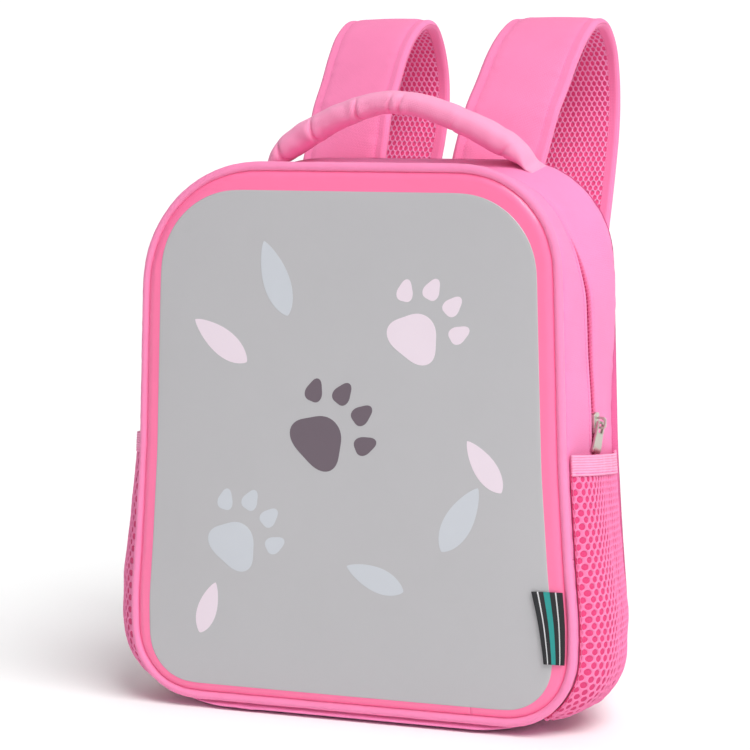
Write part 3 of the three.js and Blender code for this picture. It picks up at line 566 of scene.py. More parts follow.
# %% How the gusset swells
FRONT_SEAM = -47.5
BACK_SEAM = 47.5
PIPING_RADIUS = 2.6
CLEARANCE = 0.3
GUSSET_FRONT = FRONT_SEAM + PIPING_RADIUS + CLEARANCE
GUSSET_BACK = BACK_SEAM - CLEARANCE
PAD_FACE = BACK_SEAM + 6.5
CLOTH_WALL = 1.6
SAG_HEIGHT = 45
SAG_RANGE = (75, 118)
DEPTHS = (0, 0.05, 0.12, 0.28, 0.5, 0.75, 0.92, 1)
PROUD = {
    "side": (-1.2, -0.2, 0.1, 0.2, 1.2, 1.4, 1.8, 1),
    "top": (-1.5, -1.6, -2.2, -4.4, -7.5, -3.8, -0.4, 0),
    "waist": (-1.2, -0.2, 0.1, 0.2, 0.6, -0.8, -2.6, -3.2),
    "base": (0, 3.9, 4.95, 4.95, 4.95, 4.95, 4.95, 4.95),
}
FOLDS = {
    "run": (330, 372, 415, 640, 700, 905, 960),
    "depth": (18, -22, 24, -18, 20, -20, 16),
    "length": (34, 26, 30, 40, 34, 30, 26),
    "width": (5, 4, 5, 6, 5, 5, 4),
    "turn": (0.5, -0.4, 0.35, 0.2, -0.3, 0.5, -0.5),
    "height": (0.7, 0.5, -0.6, 0.6, -0.5, 0.7, 0.5),
}


def gusset_proud(run, points, y, plain=False):
    """How far the gusset stands off the outline: the table's four columns, mixed by height and by
    place under the base, plus, unless it is plain, soft folds and the puckers of the two seams."""
    share = (y - GUSSET_FRONT) / (GUSSET_BACK - GUSSET_FRONT)
    side, top, waist, base = (soft_table(share, DEPTHS, PROUD[key], 0.03) for key in PROUD)
    x, z = points[..., 0], points[..., 1]
    drawn = 1 - smoothstep(z, 165, 245)
    wall = side + (waist - side) * drawn
    wall = wall + (top - wall) * smoothstep(z, 238, 282)
    sag = (z < SAG_HEIGHT) * (1 - smoothstep(np.abs(x), *SAG_RANGE))
    proud = wall + (base - wall) * sag
    if plain:
        return proud
    for at, depth, length, width, turn, height in zip(*FOLDS.values()):
        a = (run - at) * math.cos(turn) + (y - depth) * math.sin(turn)
        b = (y - depth) * math.cos(turn) - (run - at) * math.sin(turn)
        proud = proud + height * np.exp(-(a / width) ** 2 - (b / length) ** 2)
    near_seam = np.exp(-(y - GUSSET_FRONT) / 5) + np.exp(-(GUSSET_BACK - y) / 6)
    pucker = waves(run, (9.0, 13.0, 17.5), 3) * near_seam * 0.35 * (1 - sag)
    slow = waves(run + 0.4 * y, (120.0, 83.0, 57.0), 5) * 0.5 * (1 - sag)
    return proud + pucker + slow * np.sin(np.pi * np.clip(share, 0, 1))


def on_gusset(run, y, lift=0.0, plain=False):
    """The point of the gusset's face at a length along the outline and a depth, raised by a lift."""
    run, y, lift = np.broadcast_arrays(run, y, lift)
    points, outs = rim_at(run.ravel())
    proud = gusset_proud(run.ravel(), points, y.ravel(), plain) + lift.ravel()
    placed = points + outs * proud[:, None]
    return np.column_stack([placed[:, 0], y.ravel(), placed[:, 1]]).reshape(*run.shape, 3)


def gusset_normal(run, y):
    """The outward direction of the gusset's face, from the slope of two short steps on it."""
    step = 0.5
    along = on_gusset(run + step, y) - on_gusset(run - step, y)
    across = on_gusset(run, y + step) - on_gusset(run, y - step)
    return unit(np.cross(across, along))


# %% [markdown]
# The gusset is sewn from a front strip, a back strip and a base. At the piping the front strip
# turns in under the cord. At the zip each strip is folded under: a lip with a row of stitches.
# On the sides the lips stand apart and show the coil. Over the top they nearly meet over it.

# %% Gusset strips
COIL_WIDTH = 6.4
LIP_OPEN = COIL_WIDTH / 2 + 0.2
LIP_CLOSED = 0.7
LIP_ROLL = 1.1
LIP_DROP = 2.2
ZIP_DRIFT = 7
DRIFT_RANGE = (180, 262)
LIP_RISE = 0.5
ZIP_ROW = 4.2
SEAM_TUCK = {-1: 3.0, 1: 1.2}
TUCK_REACH = 2.2
STRIP_WALL = 1.4
STRIP_ROWS = 620
STRIP_COLUMNS = 44
SIDE_SEAM_HEIGHT = 100
OVER_TOP = (run_at(SIDE_SEAM_HEIGHT, 1), run_at(SIDE_SEAM_HEIGHT, -1))
CLOSING_HEIGHT = 252
CLOSING_FROM = (run_at(CLOSING_HEIGHT, 1), run_at(CLOSING_HEIGHT, -1))
CLOSING_LENGTH = 30


def zip_middle(run):
    """Depth of the zip's middle: it drifts towards the front as it rises to the corners."""
    _, height = rim_at(run)[0].T
    return -ZIP_DRIFT * smoothstep(height, *DRIFT_RANGE)


def lip_place(run):
    """How far a lip's edge stays from the zip's middle: open on the sides, closed over the top."""
    right_shut = smoothstep(run, CLOSING_FROM[0], CLOSING_FROM[0] + CLOSING_LENGTH)
    left_shut = 1 - smoothstep(run, CLOSING_FROM[1] - CLOSING_LENGTH, CLOSING_FROM[1])
    return LIP_OPEN + (LIP_CLOSED - LIP_OPEN) * right_shut * left_shut


def strip(side):
    """One strip between a seam and the zip. Across it, the columns crowd towards the lip, where the
    cloth rises over the coil and rolls under."""
    run = np.linspace(*OVER_TOP, STRIP_ROWS)[:, None]
    t = np.linspace(0, 1, STRIP_COLUMNS)[None, :]
    eased = 1 - (1 - t) ** 1.7
    edge = zip_middle(run[:, 0])[:, None] + lip_place(run) * side
    seam = GUSSET_FRONT if side < 0 else GUSSET_BACK
    y = seam + (edge - seam) * eased
    from_lip = np.abs(y - edge)
    roll = np.clip(1 - from_lip / LIP_ROLL, 0, 1)
    rise = LIP_RISE * np.exp(-((from_lip - 2.6) / 2.2) ** 2)
    drop = LIP_DROP * (1 - np.sqrt(np.clip(1 - roll ** 2, 0, 1)))
    tuck = np.clip(1 - np.abs(y - seam) / TUCK_REACH, 0, 1)
    under = SEAM_TUCK[side] * (1 - np.sqrt(np.clip(1 - tuck ** 2, 0, 1)))
    stitch_dip = 0.35 * np.exp(-((from_lip - ZIP_ROW) / 0.8) ** 2)
    return on_gusset(run + 0 * y, y, rise - drop - under - stitch_dip)


for name, side, node, seat in (("front_strip", -1, "gusset_front", "front_piping"),
                               ("back_strip", 1, "gusset_back", "back_panel")):
    cloth_strip = thicken(grid_piece(name, strip(side), gusset_cloth, closed=False), STRIP_WALL)
    settle(cloth_strip, "bag", "cloth", node)

# %% [markdown]
# The base is one cloth from side seam to side seam. The bag's weight lets it sag to the floor, and
# in front it bulges from under the piping in a soft roll: half a sine over a few millimetres of
# depth, pushed forward. Its columns crowd towards the front, where the roll needs them.

# %% Base of the gusset
BULGE_FORWARD = 8
BULGE_DEPTH = 7
BASE_TUCK = 1.2
BASE_TUCK_REACH = 1.6
FLOOR_GAP = 0.02
under_base = (OVER_TOP[1], rim_run[-1] + OVER_TOP[0])
base_run = np.linspace(*under_base, 420)[:, None]
base_share = np.linspace(0, 1, 72)[None, :] ** 1.6
base_y = GUSSET_FRONT + (GUSSET_BACK - GUSSET_FRONT) * base_share
base_tuck = BASE_TUCK * (1 - smoothstep(base_y - GUSSET_FRONT, 0, BASE_TUCK_REACH))
base_grid = on_gusset(base_run + 0 * base_y, base_y + 0 * base_run, -base_tuck)
base_bulge = np.sin(np.pi * np.clip((base_y - GUSSET_FRONT) / BULGE_DEPTH, 0, 1))
base_flat = 1 - smoothstep(np.abs(base_grid[..., 0]), *SAG_RANGE)
base_grid[..., 1] -= BULGE_FORWARD * base_bulge * base_flat
base_grid[..., 2] = np.maximum(base_grid[..., 2], FLOOR_GAP)
base_cloth = thicken(grid_piece("base_cloth", base_grid, gusset_cloth, closed=False), STRIP_WALL)
settle(base_cloth, "bag", "cloth", "base_gusset")

# %% [markdown]
# The zip is a woven tape under the lips with a closed nylon coil on it. The coil is a row of small
# loops that come in turn from the tape's front and back half, a little aslant. Under the coil the
# tape rises in a bell curve, so that its dark weave shows between the loops. The tape's dark pink is
# painted shade for the gaps between the loops, and the coil's pink, darker than the cloth's, is
# painted shade for the zip's groove.

# %% Zip
TOOTH_PITCH = 1.05
TOOTH_LENGTH = 4.2
TOOTH_WIDTH = 0.7
TOOTH_STAGGER = 0.7
TOOTH_SLANT = 0.3
COIL_HEIGHT = 1.3
TAPE_REACH = 8
TAPE_DEPTH = CLOTH_WALL + 1.1
TAPE_WALL = 0.7
COIL_SINK_SIDE = -0.6
COIL_SINK_TOP = 0.15
TAPE_RISE = 1.9
TAPE_RISE_WIDTH = 2.4


def coil_sink(run):
    """How far the coil lies under the gusset's face: deeper where the lips close over it."""
    shut = (LIP_OPEN - lip_place(run)) / (LIP_OPEN - LIP_CLOSED)
    return COIL_SINK_SIDE + (COIL_SINK_TOP - COIL_SINK_SIDE) * shut


tape_run = np.linspace(*OVER_TOP, 500)[:, None]
tape_y = np.linspace(-TAPE_REACH, TAPE_REACH, 17)[None, :]
tape_middle = zip_middle(tape_run[:, 0])[:, None]
tape_grid = on_gusset(tape_run, tape_middle, -(TAPE_DEPTH + coil_sink(tape_run)))
tape_grid = np.repeat(tape_grid, tape_y.size, axis=1)
tape_grid[..., 1] = tape_middle + tape_y
tape_out = gusset_normal(tape_run[:, 0], tape_middle[:, 0])[:, None]
tape_grid += tape_out * TAPE_RISE * np.exp(-(tape_y / TAPE_RISE_WIDTH) ** 2)[..., None]
zip_tape = thicken(grid_piece("zip_tape", tape_grid, tape_cloth_painted_shade, closed=False), TAPE_WALL)
settle(zip_tape, "bag", "zip_coil", "zip_chain")

tooth_run = np.arange(OVER_TOP[0], OVER_TOP[1], TOOTH_PITCH)
tooth_side = np.where(np.arange(len(tooth_run)) % 2 == 0, 1.0, -1.0)
tooth_y = zip_middle(tooth_run)
tooth_out = gusset_normal(tooth_run, tooth_y)
tooth_place = on_gusset(tooth_run, tooth_y, -(coil_sink(tooth_run) + COIL_HEIGHT / 2))
tooth_place[:, 1] = tooth_y + tooth_side * TOOTH_STAGGER
tooth_ahead = unit(on_gusset(tooth_run + 0.5, tooth_y) - on_gusset(tooth_run - 0.5, tooth_y))
tooth_along = np.array([0, 1.0, 0]) + TOOTH_SLANT * tooth_ahead
tooth = pill(TOOTH_LENGTH, TOOTH_WIDTH, COIL_HEIGHT)
zip_teeth = scatter("zip_teeth", tooth, tooth_place, tooth_along, tooth_out, coil_nylon_painted_shade)
settle(zip_teeth, "bag", "zip_coil")

# %% [markdown]
# The piping is a cord in a bias strip. Its cloth is drawn round the corners, so the tube swells and
# narrows a little along its length. The stitches that hold it lie hidden in the two grooves.

# %% Piping
tube_turn = np.linspace(0, 2 * np.pi, 21)[None, :]
tube_run = np.linspace(0, rim_run[-1], 900)[:, None]
tube_points, tube_outs = rim_at(tube_run[:, 0])
tube_swell = 0.08 * waves(tube_run, (31.0, 47.0, 19.0), 11) + 0.05 * waves(tube_run, (6.0, 9.0), 12)
tube_radius = PIPING_RADIUS + tube_swell
tube_outwards = tube_radius * np.cos(tube_turn) - PIPING_RADIUS
tube_grid = np.stack([
    tube_points[:, :1] + tube_outs[:, :1] * tube_outwards,
    FRONT_SEAM + tube_radius * np.sin(tube_turn),
    tube_points[:, 1:] + tube_outs[:, 1:] * tube_outwards,
], axis=2)
tube_grid[-1] = tube_grid[0]
piping_uv = np.stack(np.broadcast_arrays(tube_turn * PIPING_RADIUS, tube_run), axis=2)
piping = grid_piece("edge_piping", tube_grid, piping_cloth, uv=piping_uv)
settle(piping, "bag", "piping", "front_piping")

# %% [markdown]
# The front is one shallow dome. Round it runs a band of glossy coated cloth, full between the
# piping and the print, and in its middle lies the printed film, with a thin soft edge.

# %% Front dome
PANEL_DOME = 6
DOME_POWER = 3
MIDDLE_HEIGHT = (BAG_HEIGHT + BASE_LINE) / 2
BAND_EDGE = 4.2
BAND_ROUND = 5.5
BAND_SINK = 2.4
BAND_LIFT = 2.0
BAND_RINGS = 26
PUCKER_HEIGHT = 0.14
PUCKER_INSET = 7
PUCKER_REACH = 3.5
PRINT_LIFT = 2.3
PRINT_MARGIN = 13
PRINT_CORNER_EASE = 12
PRINT_DROP = 3
PRINT_WALL = 0.8


def dome(x, z):
    """Height of the dome: full in the middle, falling as a cube of the distance to each side."""
    across = np.abs(x) / (SIDE_ROWS["half_width"][1])
    up = np.abs(z - MIDDLE_HEIGHT) / (BAG_HEIGHT / 2)
    return PANEL_DOME * (1 - across ** DOME_POWER) * (1 - up ** DOME_POWER)


def on_dome(flat, lift):
    """Points of a flat shape laid on the dome and raised towards the front by a lift."""
    x, z = flat[..., 0], flat[..., 1]
    return np.stack([x, FRONT_SEAM - dome(x, z) - lift, z], axis=-1)


def rings_to_middle(line, shares, lift):
    """Rings of a closed line drawn in towards its middle, laid on the dome with a lift for each."""
    middle = np.array([0, MIDDLE_HEIGHT - PRINT_DROP])
    closed = np.concatenate([line, line[:1]])
    flat = middle + (closed[None] - middle) * np.asarray(shares)[:, None, None]
    return on_dome(flat, np.asarray(lift)[:, None])


band_insets = np.linspace(BAND_EDGE, PRINT_MARGIN + 3, BAND_RINGS)
band_rings = rim[None] - rim_out[None] * band_insets[:, None, None]
band_rings = np.concatenate([band_rings, band_rings[:, :1]], axis=1)
rise = 1 - np.clip(1 - (band_insets - BAND_EDGE) / BAND_ROUND, 0, 1) ** 2
band_lift = -BAND_SINK + (BAND_LIFT + BAND_SINK) * np.sqrt(rise)
pucker_share = np.exp(-((band_insets - PUCKER_INSET) / PUCKER_REACH) ** 2)
pucker = PUCKER_HEIGHT * pucker_share[:, None] * waves(rim_run, (14.0, 22.0, 35.0), 21)[None]
band_grid = on_dome(band_rings, band_lift[:, None] + pucker)
inner_line = band_rings[-1, :-1]
inner_shares = np.array([1, 0.9, 0.7, 0.45, 0.2, 0])
inner_grid = rings_to_middle(inner_line, inner_shares, np.full(len(inner_shares), BAND_LIFT))
band_uv = np.stack(np.broadcast_arrays(rim_run[None], band_insets[:, None]), axis=2)
front_band = thicken(grid_piece("front_band", [band_grid, inner_grid], band_film,
                                uv=[band_uv, inner_grid[..., [0, 2]]], closed=False), CLOTH_WALL)
settle(front_band, "bag", "front_band", "front_panel")

# %% Printed film
print_rim, print_out = rounded_outline(TOP_RADIUS_LEFT - PRINT_CORNER_EASE)
print_line = print_rim - print_out * PRINT_MARGIN - np.array([0, PRINT_DROP])
print_shares = np.concatenate([[1.0, 1.0, 0.9985, 0.996], np.linspace(0.985, 0.04, 46), [0]])
print_lifts = np.concatenate([[PRINT_LIFT - PRINT_WALL, PRINT_LIFT - 0.28, PRINT_LIFT - 0.08, PRINT_LIFT],
                              np.full(47, PRINT_LIFT)])
print_face = rings_to_middle(print_line, print_shares, print_lifts)
print_back = rings_to_middle(print_line, [0, 0.5, 1], np.full(3, PRINT_LIFT - PRINT_WALL))
print_sheet = grid_piece("print_film", [print_face, print_back], print_film,
                         uv=[print_face[..., [0, 2]], print_back[..., [0, 2]]])
settle(print_sheet, "bag", "print", "print_panel")

# %% [markdown]
# The print is a plain design of its own: a trail of paw prints between leaves, in soft greys, pale
# pink and plum. Each patch of ink is a very thin shape that lies on the film and follows the dome.

# %% Printed motifs
INK_LIFT = 0.07
INK_COLOURS = {
    "light_grey": (196, 199, 206),
    "pale_pink": (229, 213, 224),
    "plum": (101, 86, 97),
}
PAWS = {
    "x": (-62, -8, 48),
    "z": (104, 166, 226),
    "turn": (-38, -44, -36),
    "size": (46, 50, 46),
    "ink": ("light_grey", "plum", "pale_pink"),
}
LEAVES = {
    "x": (-74, -40, 70, 84, 20, -84),
    "z": (214, 250, 120, 150, 84, 60),
    "turn": (55, 20, -30, 35, 70, -20),
    "length": (40, 44, 42, 34, 36, 32),
    "width": (15, 16, 16, 13, 14, 12),
    "ink": ("pale_pink", "light_grey", "light_grey", "pale_pink", "light_grey", "pale_pink"),
}
TOES = {
    "across": (-0.42, -0.16, 0.16, 0.42),
    "up": (0.2, 0.42, 0.42, 0.2),
    "turn": (24, 8, -8, -24),
}
INK_TURN = np.linspace(0, 2 * np.pi, 65)
INK_SHARES = np.array([1, 0.997, 0.988, 0.75, 0.45, 0.15, 0])


def pad_shape(width, height):
    """A rounded three-sided pad: an ellipse with a cosine of three waves round it."""
    reach = 0.5 * (1 - 0.11 * np.sin(3 * INK_TURN))
    return np.column_stack([np.cos(INK_TURN) * reach * width, np.sin(INK_TURN) * reach * height])


def leaf_shape(width, length):
    """A leaf: its width is the sine of the place along it, a little fuller near the stem."""
    along = -np.cos(INK_TURN)
    side = np.sign(np.sin(INK_TURN)) * np.sqrt(np.clip(1 - along ** 2, 0, 1)) ** 1.5 * (1 - 0.22 * along)
    return np.column_stack([side * width / 2, along * length / 2])


def turned(shape, degrees, x, z):
    """The shape turned anticlockwise and carried to its place."""
    angle = math.radians(degrees)
    turn = np.array([[math.cos(angle), math.sin(angle)], [-math.sin(angle), math.cos(angle)]])
    return shape @ turn + (x, z)


def ink_grid(shape):
    """Rings of a shape drawn in to its middle, on the dome, with the rim down on the film."""
    middle = shape[:-1].mean(axis=0)
    flat = middle + (shape[None] - middle) * INK_SHARES[:, None, None]
    lift = PRINT_LIFT + np.where(INK_SHARES == 1, 0.0, INK_LIFT)[:, None]
    return on_dome(flat, lift)


ink_shapes = {ink: [] for ink in INK_COLOURS}
for x, z, turn, size, ink in zip(*PAWS.values()):
    ink_shapes[ink].append(turned(pad_shape(0.66 * size, 0.56 * size) - (0, 0.18 * size), turn, x, z))
    for across, up, toe_turn in zip(*TOES.values()):
        toe = turned(pad_shape(0.2 * size, 0.27 * size), toe_turn, across * size, up * size)
        ink_shapes[ink].append(turned(toe, turn, x, z))
for x, z, turn, length, width, ink in zip(*LEAVES.values()):
    ink_shapes[ink].append(turned(leaf_shape(width, length), turn, x, z))
for ink, shapes in ink_shapes.items():
    grids = [ink_grid(shape) for shape in shapes]
    patch = grid_piece(f"ink_{ink}", grids, film(f"ink_{ink}", INK_COLOURS[ink], 0.42, 0.3),
                       uv=[g[..., [0, 2]] for g in grids], closed=False)
    settle(patch, "bag", "print")

# %% [markdown]
# A padded piece is blown up like the real one: its closed cover becomes cloth with a little air
# pressure inside, held still along its seams, and each point may move only so far. What the cloth
# does between the seams, small creases and a soft crown, is then kept as the piece's own shape.

# %% Padding
def puff(piece, held, pressure, cap):
    """Swells a closed piece with air pressure. held is 1 where a point stays, for each point."""
    mesh = piece.data
    start = np.empty(len(mesh.vertices) * 3)
    mesh.vertices.foreach_get("co", start)
    start = start.reshape(-1, 3)
    group = piece.vertex_groups.new(name="held")
    group.add(np.where(held(start / MM) > 0.5)[0].tolist(), 1.0, "REPLACE")
    pad = piece.modifiers.new("pad", "CLOTH")
    pad.settings.vertex_group_mass = "held"
    pad.settings.use_pressure = True
    pad.settings.uniform_pressure_force = pressure
    pad.settings.effector_weights.gravity = 0
    pad.point_cache.frame_start = 1
    pad.point_cache.frame_end = 20
    for frame_number in range(1, 21):
        scene.frame_set(frame_number)
    swollen = piece.evaluated_get(bpy.context.evaluated_depsgraph_get()).data
    ended = np.empty_like(start).reshape(-1)
    swollen.vertices.foreach_get("co", ended)
    moved = ended.reshape(-1, 3) - start
    far = np.linalg.norm(moved, axis=1, keepdims=True)
    moved *= np.minimum(1, cap * MM / np.maximum(far, 1e-9))
    piece.modifiers.remove(pad)
    mesh.vertices.foreach_set("co", (start + moved).ravel())
    mesh.update()
    scene.frame_set(1)
    print(f"{piece.name}: swelled by {far.max() / MM:.1f} mm at most, kept to {cap} mm")


def smooth_surface(piece, levels=1):
    """One subdivision, the same in the view and in the render."""
    finer = piece.modifiers.new("finer", "SUBSURF")
    finer.levels = finer.render_levels = levels
    return piece


# %% [markdown]
# The back panel is cloth over foam, sewn through along two upright channels. Its edge is rounded by
# the seam. The straps, the webbing and the handle are sewn against it, so there it stays as it is.

# %% Back panel
BACK_PADDING = 6.2
BACK_EDGE = 9
CHANNELS = (-44, 44)
CHANNEL_DEPTH = 2.6
BACK_PRESSURE = 3.0
BACK_SWELL = 1.6
PANEL_ROWS = 76
PANEL_COLUMNS = 66


def back_thickness(x, z):
    """Padding over the seam: a quarter ellipse at the edge, and a groove along each channel."""
    places = np.column_stack([x.ravel(), z.ravel()])
    inset = np.sqrt(((places[:, None, :] - rim[None, ::3, :]) ** 2).sum(axis=2)).min(axis=1).reshape(x.shape)
    edge = np.sqrt(np.clip(1 - (1 - np.clip(inset / BACK_EDGE, 0, 1)) ** 2, 0, 1))
    ends = smoothstep(z, 30, 60) * (1 - smoothstep(z, 235, 262))
    groove = sum(np.exp(-((x - at) / 3.2) ** 2) for at in CHANNELS) * ends
    return BACK_PADDING * edge - CHANNEL_DEPTH * groove


top_of_bag = rim[:, 1].max()
bottom_of_bag = rim[:, 1].min()
z_rows = bottom_of_bag + (top_of_bag - bottom_of_bag) * (1 - np.cos(np.linspace(0, np.pi, PANEL_ROWS))) / 2


def width_at(z, side):
    """Half width of the outline at a height, on the right (1) or the left (-1)."""
    on_side = rim[rim[:, 0] * side > 0]
    order = on_side[np.argsort(on_side[:, 1], kind="stable")]
    return np.interp(z, order[:, 1], np.abs(order[:, 0]))


even_columns = np.linspace(-1, 1, PANEL_COLUMNS)
u_columns = 0.75 * np.sin(even_columns * np.pi / 2) + 0.25 * even_columns
half = np.where(u_columns[None] > 0, width_at(z_rows, 1)[:, None], width_at(z_rows, -1)[:, None])
panel_x = u_columns[None] * half
panel_z = np.repeat(z_rows[:, None], PANEL_COLUMNS, axis=1)
panel_y = BACK_SEAM + 0.1 + back_thickness(panel_x, panel_z)
border = np.zeros_like(panel_x, bool)
border[[0, -1]] = True
border[:, [0, -1]] = True
panel_y = np.where(border, BACK_SEAM + 0.1, panel_y)
panel_back = np.stack([panel_x, panel_y, panel_z], axis=2)
panel_front = np.stack([panel_x, np.full_like(panel_x, BACK_SEAM + 0.1), panel_z], axis=2)
back_pad = grid_piece("back_pad", [panel_back, panel_front], back_cloth,
                      uv=[panel_back[..., [0, 2]], panel_front[..., [0, 2]]])


def back_held(points):
    """The seam, the flat inner side, the channels and the places where other pieces are sewn on."""
    x, y, z = points.T
    seam = y < BACK_SEAM + 3
    channel = np.min(np.abs(x[:, None] - np.array(CHANNELS)), axis=1) < 3
    sewn = (z > 235) | ((z < 62) & (np.abs(x) > 70))
    return (seam | channel | sewn).astype(float)


puff(back_pad, back_held, BACK_PRESSURE, BACK_SWELL)
smooth_surface(back_pad)
settle(back_pad, "bag", "cloth", "back_panel")

# %% [markdown]
# The handle is cloth rolled round a soft core. Each end is pressed flat into a tab that is sewn to
# the gusset. Along the grip the cloth is caught in a few tucks, and between them it stays full.

# %% Handle
HANDLE_SPAN = 172
HANDLE_CREST = BAG_HEIGHT + 33.1
HANDLE_DEPTH = 33
HANDLE_LEAN = 8
HANDLE_WIDTH = 19
HANDLE_THICK = 13
TAB_WIDTH = 24
TAB_WALL = 3
TAB_SINK = 3.2
HANDLE_ROWS = {
    "along": (1, 0.93, 0.885, 0.82, 0.7, 0.52, 0.33, 0.15, 0),
    "rise": (0, 0, 0.09, 0.2, 0.37, 0.61, 0.82, 0.96, 1),
    "wide": (1.26, 1.26, 1.26, 1.24, 1.16, 1.08, 1.02, 0.99, 0.98),
    "thick": (0.23, 0.23, 0.74, 1.1, 1.2, 1.14, 1.08, 1.04, 1.0),
    "lies": (1, 1, 0.3, 0, 0, 0, 0, 0, 0),
}
HANDLE_TUCKS = {
    "along": (-0.82, -0.574, -0.243, 0, 0.07, 0.45, 0.8),
    "depth": (1.2, 1.6, 1.7, 1.0, 1.4, 0.4, 0.5),
    "reach": (0.9, 0.7, 0.7, 0.6, 0.7, 1.2, 1.2),
}
HANDLE_SQUARENESS = 0.8
HANDLE_PRESSURE = 2.5
HANDLE_SWELL = 0.9
HANDLE_SIDES = 36
HANDLE_STEPS = 300

top_run = np.linspace(run_at(200, 1), run_at(200, -1), 600)


def top_height(x, y):
    """Height of the gusset's top at a place across and a depth, without its folds."""
    over = on_gusset(top_run, np.full_like(top_run, y), plain=True)
    order = np.argsort(over[:, 0])
    return np.interp(x, over[order, 0], over[order, 2])


def handle_line():
    """The handle's middle line from its left tab to its right tab, with its width, its thickness,
    the share by which it lies flat, and the slope of the gusset under it."""
    table = {key: np.array(values) for key, values in HANDLE_ROWS.items()}
    rows = []
    for side in (-1, 1):
        x = side * table["along"] * HANDLE_SPAN / 2
        reach = (-12, -6, 0, 6, 12)
        heights = np.array([top_height(x, HANDLE_DEPTH + step) for step in reach])
        slope = (heights[-1] - heights[0]) / TAB_WIDTH
        seat = np.max(heights - slope * np.array(reach)[:, None], axis=0) + 0.5 + TAB_WALL / 2
        sewn_in = TAB_SINK * smoothstep(table["along"], 0.88, 1)
        z = seat + table["rise"] * (HANDLE_CREST - seat) - sewn_in
        y = HANDLE_DEPTH - HANDLE_LEAN * table["rise"]
        wide = HANDLE_WIDTH * table["wide"]
        thick = HANDLE_THICK * table["thick"]
        rows.append(np.column_stack([x, y, z, wide, thick, table["lies"], slope]))
    rows = np.concatenate([rows[0], rows[1][-2::-1]])
    run = lengths_along(rows)
    at = np.linspace(0, run[-1], HANDLE_STEPS)
    reach = 7 * np.clip(np.minimum(at, run[-1] - at) / 20, 0, 1)
    return np.column_stack([soft_table(at, run, column, reach) for column in rows.T])


handle_rows = handle_line()
handle_middle = handle_rows[:, :3]
ahead = unit(np.gradient(handle_middle, axis=0))
lying_slope = handle_rows[:, 6] * handle_rows[:, 5]
across = unit(np.column_stack([np.zeros(HANDLE_STEPS), np.ones(HANDLE_STEPS), lying_slope]))
across = unit(across - ahead * (across * ahead).sum(axis=1, keepdims=True))
up = np.cross(ahead, across)
around = np.linspace(0, 2 * np.pi, HANDLE_SIDES + 1)[None, :]
square_cos = np.sign(np.cos(around)) * np.abs(np.cos(around)) ** HANDLE_SQUARENESS
square_sin = np.sign(np.sin(around)) * np.abs(np.sin(around)) ** HANDLE_SQUARENESS
section_a = handle_rows[:, 3:4] / 2 * square_cos
section_b = handle_rows[:, 4:5] / 2 * square_sin
along_share = handle_middle[:, :1] / (HANDLE_SPAN / 2)
front_low = np.clip(0.1 - 0.7 * np.cos(around) - 0.5 * np.sin(around), 0, 1)
pinch = 0
for at, depth, reach in zip(*HANDLE_TUCKS.values()):
    place = (along_share - at) * HANDLE_SPAN / 2 + 1.2 * np.sin(2 * around)
    pulled = np.exp(-(place / reach) ** 2) - 0.25 * np.exp(-((np.abs(place) - 3) / 2.2) ** 2)
    pinch = pinch + depth * pulled * front_low
handle_run = lengths_along(handle_middle)[:, None]
wander = 0.25 * waves(handle_run + 4 * np.sin(around), (19.0, 31.0, 12.0), 31) * (1 - handle_rows[:, 5:6])
shrink = 1 - (pinch - wander) / (HANDLE_THICK / 2)
end_step = np.minimum(handle_run, handle_run[-1] - handle_run)
closing = np.sqrt(np.clip(1 - (1 - np.clip(end_step / 1.6, 0, 1)) ** 2, 0, 1))
handle_grid = (handle_middle[:, None]
               + across[:, None] * (section_a * shrink)[..., None]
               + up[:, None] * (section_b * shrink * closing)[..., None])
handle_uv = np.stack(np.broadcast_arrays(around * 8.5, handle_run), axis=2)
grip = grid_piece("carry_handle", handle_grid, handle_cloth, uv=handle_uv)
tuck_places = np.array(HANDLE_TUCKS["along"]) * HANDLE_SPAN / 2


def handle_held(points):
    """The tabs stay, and so do the tucks, which are caught in the front half of the cloth."""
    x, y, _ = points.T
    tab = np.abs(x) > 0.84 * HANDLE_SPAN / 2
    tuck = np.min(np.abs(x[:, None] - tuck_places), axis=1) < 0.9
    return (tab | (tuck & (y < HANDLE_DEPTH - 12))).astype(float)


puff(grip, handle_held, HANDLE_PRESSURE, HANDLE_SWELL)
smooth_surface(grip)
settle(grip, "bag", "cloth", "handle")

# %% [markdown]
# A shoulder strap is foam between a woven cloth and a lining of open net. Its edge is bound: a
# narrow rolled hem, a row of stitches, then the padding. It leaves the back panel, rises over where
# the shoulder would be and hangs down to a narrow end that takes the webbing.

